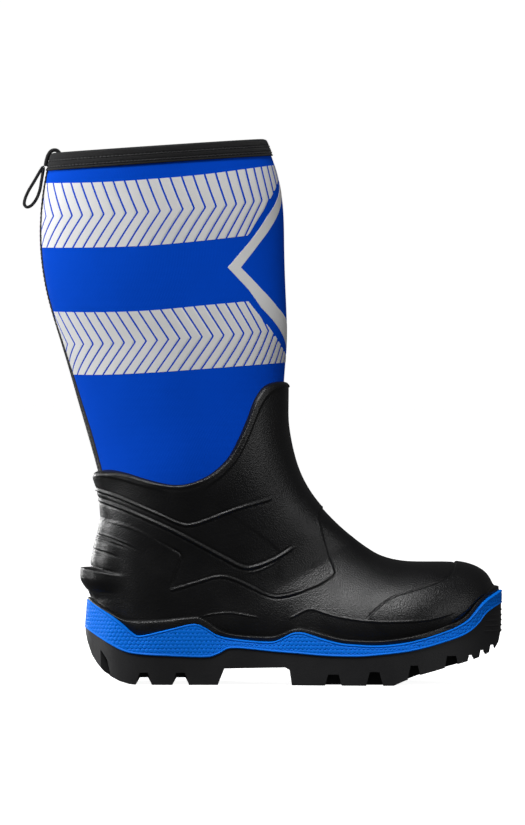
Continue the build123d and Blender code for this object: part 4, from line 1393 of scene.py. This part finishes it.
# ------------------------------------------------------------------ footbed
def footbed_piece():
    """The removable footbed: a soft pad with a dished top, in the place of its CAD solid."""
    source = nodes["insole"]
    tree = BVHTree.FromObject(source, bpy.context.evaluated_depsgraph_get())
    low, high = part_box("insole")
    xs = low.x + (high.x - low.x) * (0.5 - 0.5 * np.cos(np.linspace(0.03, pi - 0.03, 120)))
    top_rows, foot_rows = [], []
    for x in xs:
        down = tree.ray_cast(Vector((x, 0.002, 0.3)), Vector((0, 0, -1)))[0]
        up = tree.ray_cast(Vector((x, 0.002, -0.1)), Vector((0, 0, 1)))[0]
        if not down or not up:
            continue
        middle = (down.z + up.z) / 2
        left = tree.ray_cast(Vector((x, -0.1, middle)), Vector((0, 1, 0)))[0]
        right = tree.ray_cast(Vector((x, 0.1, middle)), Vector((0, -1, 0)))[0]
        if not left or not right:
            continue
        t = 0.5 - 0.5 * np.cos(np.linspace(0, pi, 41))
        y = left.y + (right.y - left.y) * t
        edge = np.sin(pi * t) ** 0.35
        x_edge = min((x - low.x) / 0.006, (high.x - x) / 0.006, 1.0)
        thick = (down.z - up.z) * 0.5
        dish = 0.0006 * np.cos(2 * pi * t) * smoothstep(0.04, -0.06, x)
        top = middle + (thick - 0.0007) * edge * max(x_edge, 0.3) ** 0.5 + dish * edge
        foot = middle - (thick - 0.0001) * np.minimum(edge, 1.0) * max(x_edge, 0.3) ** 0.5
        top_rows.append(np.stack([np.full_like(y, x), y, top], axis=1) / MM)
        foot_rows.append(np.stack([np.full_like(y, x), y, foot], axis=1) / MM)
    obj = make_object("footbed_pad", *slab(np.array(top_rows), np.array(foot_rows)))
    face_outward(obj)
    u = np.array(top_rows)[..., 0].ravel()
    v = np.array(top_rows)[..., 1].ravel()
    set_uv(obj, np.concatenate([u, u]), np.concatenate([v, v]))
    return obj


footbed = footbed_piece()


# ------------------------------------------------------------------ materials
class Nodes:
    """Short calls that build a material's node tree."""

    def __init__(self, name, color, roughness, specular=0.5):
        self.material = bpy.data.materials.new(name)
        self.material.use_nodes = True
        self.tree = self.material.node_tree
        self.tree.nodes.clear()
        self.output = self.tree.nodes.new("ShaderNodeOutputMaterial")
        self.shader = self.tree.nodes.new("ShaderNodeBsdfPrincipled")
        self.tree.links.new(self.shader.outputs[0], self.output.inputs[0])
        self.set(self.shader, "Base Color", (*color, 1))
        self.set(self.shader, "Roughness", roughness)
        self.set(self.shader, "Specular IOR Level", specular)

    def set(self, node, socket, value):
        node.inputs[socket].default_value = value

    def add(self, kind, **settings):
        node = self.tree.nodes.new(kind)
        for key, value in settings.items():
            setattr(node, key, value)
        return node

    def link(self, a, b):
        self.tree.links.new(a, b)

    def place(self, cloth=False):
        if cloth:
            return self.add("ShaderNodeUVMap", uv_map="cloth").outputs[0]
        return self.add("ShaderNodeTexCoord").outputs["Object"]

    def noise(self, where, scale, detail=2.0, rough=0.5):
        node = self.add("ShaderNodeTexNoise")
        self.set(node, "Scale", scale)
        self.set(node, "Detail", detail)
        self.set(node, "Roughness", rough)
        self.link(where, node.inputs["Vector"])
        return node.outputs["Fac"]

    def cells(self, where, scale, feature="F1"):
        node = self.add("ShaderNodeTexVoronoi", feature=feature)
        self.set(node, "Scale", scale)
        self.link(where, node.inputs["Vector"])
        return node.outputs["Distance"]

    def math(self, operation, a, b=None, c=None):
        node = self.add("ShaderNodeMath", operation=operation)
        for i, value in enumerate((a, b, c)):
            if value is None:
                continue
            if isinstance(value, (int, float)):
                node.inputs[i].default_value = value
            else:
                self.link(value, node.inputs[i])
        return node.outputs[0]

    def spread(self, value, low, high, to_low, to_high):
        node = self.add("ShaderNodeMapRange")
        for socket, number in zip(("From Min", "From Max", "To Min", "To Max"), (low, high, to_low, to_high)):
            self.set(node, socket, number)
        self.link(value, node.inputs["Value"])
        return node.outputs["Result"]

    def split(self, where):
        node = self.add("ShaderNodeSeparateXYZ")
        self.link(where, node.inputs[0])
        return node.outputs

    def tint(self, color, factor, dark, light):
        """Base colour between a darker and a lighter tone of the colour, by a factor."""
        node = self.add("ShaderNodeMix", data_type="RGBA")
        self.link(factor, node.inputs["Factor"])
        node.inputs["A"].default_value = (*[min(c * dark, 1) for c in color], 1)
        node.inputs["B"].default_value = (*[min(c * light, 1) for c in color], 1)
        self.link(node.outputs["Result"], self.shader.inputs["Base Color"])

    def bump(self, height, distance, strength=1.0):
        node = self.add("ShaderNodeBump")
        self.set(node, "Distance", distance)
        self.set(node, "Strength", strength)
        self.link(height, node.inputs["Height"])
        self.link(node.outputs[0], self.shader.inputs["Normal"])


def knit(name, color, wale, course, depth, roughness=0.8, sheen=0.25, dark=0.8, light=1.12, tint=None,
         specular=0.25):
    """Knitted cloth: rows of V shaped loops on the piece's cloth map."""
    n = Nodes(name, color, roughness, specular)
    u, v, _ = n.split(n.place(cloth=True))
    across = n.math("MULTIPLY", u, 2 * pi / wale)
    zigzag = n.math("ABSOLUTE", n.math("SINE", n.math("MULTIPLY", u, pi / wale)))
    lean = n.math("MULTIPLY_ADD", zigzag, 2.4, n.math("MULTIPLY", v, 2 * pi / course))
    loops = n.math("MULTIPLY", n.math("SINE", lean), 0.5)
    wales = n.math("MULTIPLY", n.math("COSINE", across), 0.5)
    height = n.math("ADD", loops, n.math("MULTIPLY", wales, 0.8))
    fuzz = n.noise(n.place(), 2600.0, 2.0)
    height = n.math("ADD", height, n.math("MULTIPLY", fuzz, 0.7))
    cloud = n.noise(n.place(), 22.0, 3.0)
    shade = n.math("ADD", n.spread(height, -0.9, 1.6, 0.0, 0.6), n.math("MULTIPLY", cloud, 0.5))
    n.tint(color, shade, dark, light)
    n.bump(height, depth)
    n.set(n.shader, "Sheen Weight", sheen)
    n.set(n.shader, "Sheen Roughness", 0.5)
    if tint:
        n.set(n.shader, "Sheen Tint", (*tint, 1))
    return n.material


def rubber(name, color, roughness, grain, depth, light=1.8, specular=0.5):
    """Moulded rubber with a fine stippled grain."""
    n = Nodes(name, color, roughness, specular)
    where = n.place()
    stipple = n.cells(where, grain)
    fine = n.noise(where, grain * 1.3, 3.0, 0.6)
    height = n.math("ADD", n.math("MULTIPLY", stipple, 0.7), n.math("MULTIPLY", fine, 0.6))
    n.bump(height, depth)
    cloud = n.noise(where, 16.0, 4.0)
    n.tint(color, cloud, 0.8, light)
    rough = n.spread(n.noise(where, 45.0, 3.0), 0.3, 0.7, roughness - 0.05, roughness + 0.07)
    n.link(rough, n.shader.inputs["Roughness"])
    return n.material


def webbing(name, color, pitch):
    """Woven webbing: a fine twill on the cloth map."""
    n = Nodes(name, color, 0.78, 0.3)
    u, v, _ = n.split(n.place(cloth=True))
    twill = n.math("SINE", n.math("MULTIPLY", n.math("ADD", u, v), 2 * pi / pitch))
    weft = n.math("SINE", n.math("MULTIPLY", v, 2 * pi / (pitch * 0.8)))
    height = n.math("ADD", twill, n.math("MULTIPLY", weft, 0.6))
    n.tint(color, n.spread(height, -1.6, 1.6, 0, 1), 0.7, 1.5)
    n.bump(height, 0.0001)
    n.set(n.shader, "Sheen Weight", 0.15)
    return n.material


def thread(name, color):
    """Twisted sewing thread."""
    n = Nodes(name, color, 0.6, 0.35)
    where = n.place()
    twist = n.noise(where, 1800.0, 2.0)
    n.tint(color, twist, 0.6, 2.2)
    n.bump(twist, 0.00012)
    n.set(n.shader, "Sheen Weight", 0.2)
    return n.material


def reflective(name, color):
    """Heat pressed reflective film: fine glass beads over the cloth's grain."""
    n = Nodes(name, color, 0.5, 0.5)
    where = n.place()
    beads = n.cells(where, 3200.0)
    weave = n.noise(where, 900.0, 2.0)
    height = n.math("ADD", beads, n.math("MULTIPLY", weave, 0.9))
    cloud = n.noise(where, 60.0, 3.0)
    n.tint(color, n.math("ADD", n.math("MULTIPLY", beads, 0.5), n.math("MULTIPLY", cloud, 0.6)), 0.9, 1.08)
    n.bump(height, 0.00005)
    return n.material


def brushed_metal(name, color, roughness):
    n = Nodes(name, color, roughness)
    n.set(n.shader, "Metallic", 0.9)
    where = n.place()
    mapping = n.add("ShaderNodeMapping")
    n.set(mapping, "Scale", (40.0, 900.0, 900.0))
    n.link(where, mapping.inputs["Vector"])
    lines = n.noise(mapping.outputs[0], 1.0, 3.0)
    n.tint(color, lines, 0.85, 1.1)
    n.bump(lines, 0.00003)
    return n.material


def board(name, color):
    """Pressed fibre board."""
    n = Nodes(name, color, 0.85, 0.3)
    fibres = n.noise(n.place(), 420.0, 5.0, 0.7)
    n.tint(color, fibres, 0.7, 1.25)
    n.bump(fibres, 0.0001)
    return n.material


BLACK = (0.0045, 0.0045, 0.005)
BLUE = (0.0, 0.077, 0.70)
materials = {
    "upper_shell": rubber("rubber_foot_black", BLACK, 0.36, 1000.0, 0.00022, light=1.4, specular=0.46),
    "outsole": rubber("outsole_black", (0.011, 0.011, 0.012), 0.5, 1300.0, 0.0001),
    "midsole": rubber("midsole_blue", (0.0, 0.2, 0.96), 0.5, 1600.0, 0.00005, light=1.1, specular=0.12),
    "neoprene_shaft": knit("neoprene_blue", BLUE, 0.00115, 0.00085, 0.00006, 0.85, 0.03, 0.82, 1.12,
                           (0.1, 0.4, 1.0), 0.05),
    "inner_lining": knit("lining_dark", (0.02, 0.02, 0.022), 0.0016, 0.0012, 0.00015, 0.9, 0.3, 0.7, 1.6),
    "top_binding": knit("binding_black", (0.008, 0.008, 0.0085), 0.0012, 0.001, 0.00018, 0.8, 0.08, 0.5, 2.6),
    "back_seam_tape": webbing("tape_black", (0.012, 0.012, 0.013), 0.0011),
    "pull_loop": webbing("webbing_black", (0.012, 0.012, 0.013), 0.0013),
    "thread": thread("thread_black", (0.011, 0.011, 0.012)),
    "reflective": reflective("reflective_silver", (0.86, 0.86, 0.86)),
    "insole": knit("footbed_cloth", (0.03, 0.03, 0.035), 0.0022, 0.0018, 0.00018, 0.9, 0.3, 0.6, 1.8),
    "steel": brushed_metal("plate_steel", (0.55, 0.56, 0.58), 0.35),
    "cap": brushed_metal("cap_painted", (0.12, 0.13, 0.14), 0.5),
    "board": board("board_fibre", (0.45, 0.38, 0.28)),
    "counter": board("counter_fibre", (0.3, 0.28, 0.24)),
    "cushion": rubber("cushion_rubber", (0.05, 0.05, 0.05), 0.7, 900.0, 0.0001),
    "foot_lining": board("felt_lining", (0.06, 0.06, 0.07)),
}

# Piece, material, CAD nodes it stands for, body.
pieces = (
    (rubber_foot, "upper_shell", ("upper_shell",), "boot"),
    (rand, "upper_shell", ("rand",), "boot"),
    (midsole, "midsole", ("midsole",), "boot"),
    (outsole, "outsole", ("outsole",), "boot"),
    (neoprene, "neoprene_shaft", ("neoprene_shaft",), "boot"),
    (lining, "inner_lining", ("inner_lining",), "boot"),
    (band_upper, "reflective", ("reflective_band_upper",), "boot"),
    (band_lower, "reflective", ("reflective_band_lower",), "boot"),
    (diamond, "reflective", ("reflective_diamond",), "boot"),
    (binding, "top_binding", ("top_binding",), "boot"),
    (stitches_upper, "thread", ("binding_stitching_upper",), "boot"),
    (stitches_lower, "thread", ("binding_stitching_lower",), "boot"),
    (tape, "back_seam_tape", ("back_seam_tape",), "boot"),
    (seam_stitches, "thread", ("back_seam_stitching",), "boot"),
    (loop_root, "pull_loop", ("pull_loop_root",), "boot"),
    (pull_loop, "pull_loop", ("pull_loop",), "pull_loop"),
    (footbed, "insole", ("insole",), "footbed"),
)
for piece, material, replaced, body in pieces:
    piece.data.materials.clear()
    piece.data.materials.append(materials[material])
    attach(piece, body)
    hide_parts(*replaced)

for node, material in (
    ("steel_plate", "steel"), ("insole_board", "board"), ("toe_cap", "cap"), ("toe_cap_cushion", "cushion"),
    ("heel_counter", "counter"), ("foot_lining", "foot_lining"),
):
    nodes[node].data.materials.clear()
    nodes[node].data.materials.append(materials[material])

# ------------------------------------------------------------------ floor, light and camera
scene = bpy.context.scene
scene.view_settings.view_transform = "Standard"
scene.view_settings.look = "None"


FLAT, BEND = 12000.0, 4000.0  # the floor is flat out to the first, then bends up at the second
DOME = FLAT + BEND


def stage_bowl():
    """A pale floor that curves up into a dome all round, so that every view has the same ground."""
    profile = [(r, 0.0) for r in (200.0, 600.0, 1200.0, 2400.0, 5000.0, 8000.0, FLAT)]
    profile += [(FLAT + BEND * sin(a), BEND - BEND * cos(a)) for a in np.linspace(0.1, pi / 2, 12)]
    profile += [(DOME * cos(a), BEND + DOME * sin(a)) for a in np.linspace(0.08, pi / 2 - 0.04, 18)]
    turns = np.linspace(0, 2 * pi, 72, endpoint=False)
    points = [[(r * cos(t), r * sin(t), z - 0.02) for t in turns] for r, z in profile]
    faces = grid_faces(len(profile), len(turns))
    faces.append(list(range(len(turns)))[::-1])
    faces.append([(len(profile) - 1) * len(turns) + k for k in range(len(turns))])
    return make_object("floor_bowl", np.array(points), faces)


floor = stage_bowl()
paper = Nodes("floor_paper", (0.93, 0.93, 0.93), 0.9, 0.2)
paper.tint((0.93, 0.93, 0.93), paper.noise(paper.place(), 3.0, 2.0), 0.995, 1.005)
paper.set(paper.shader, "Emission Color", (1, 1, 1, 1))
paper.set(paper.shader, "Emission Strength", 0.94)
floor.visible_diffuse = floor.visible_glossy = floor.visible_shadow = False
floor.data.materials.append(paper.material)

world = bpy.data.worlds.new("studio")
scene.world = world
world.use_nodes = True
world.node_tree.nodes["Background"].inputs[0].default_value = (1.0, 1.0, 1.0, 1)
world.node_tree.nodes["Background"].inputs[1].default_value = 0.06

middle = Vector((0.0, 0.0, 0.2035))  # what the camera looks at


def softbox(name, at, aim, width, height, power):
    light = bpy.data.lights.new(name, "AREA")
    light.shape = "RECTANGLE"
    light.size, light.size_y = width, height
    light.energy = power
    lamp = bpy.data.objects.new(name, light)
    lamp.location = at
    lamp.rotation_euler = (Vector(aim) - Vector(at)).to_track_quat("-Z", "Y").to_euler()
    scene.collection.objects.link(lamp)
    return lamp


softbox("left_strip", (-2.2, 0.1, 0.8), (-0.05, 0.0, 0.2), 0.35, 0.9, 40)
softbox("front_key", (-0.7, -1.75, 3.0), (0.0, 0.0, 0.2), 1.2, 1.2, 84)
softbox("right_fill", (1.9, -1.6, 0.9), (0.02, 0.0, 0.2), 1.2, 1.2, 11)
softbox("back_fill", (-1.5, 2.2, 0.45), (0.0, 0.0, 0.2), 1.0, 0.7, 22)

camera_data = bpy.data.cameras.new("camera")
camera = bpy.data.objects.new("camera", camera_data)
scene.collection.objects.link(camera)
DISTANCE, ELEVATION = 7.0, 1.0
SENSOR = 36  # millimetres along the longer side of the picture
FRAME_HEIGHT = 0.6212  # metres of height in the picture at the boot
camera_data.lens = SENSOR * DISTANCE / FRAME_HEIGHT
camera_data.clip_start, camera_data.clip_end = 0.1, 50
tilt = radians(ELEVATION)
camera.location = middle + Vector((0, -DISTANCE * cos(tilt), DISTANCE * sin(tilt)))
camera.rotation_euler = (middle - camera.location).to_track_quat("-Z", "Y").to_euler()
scene.camera = camera
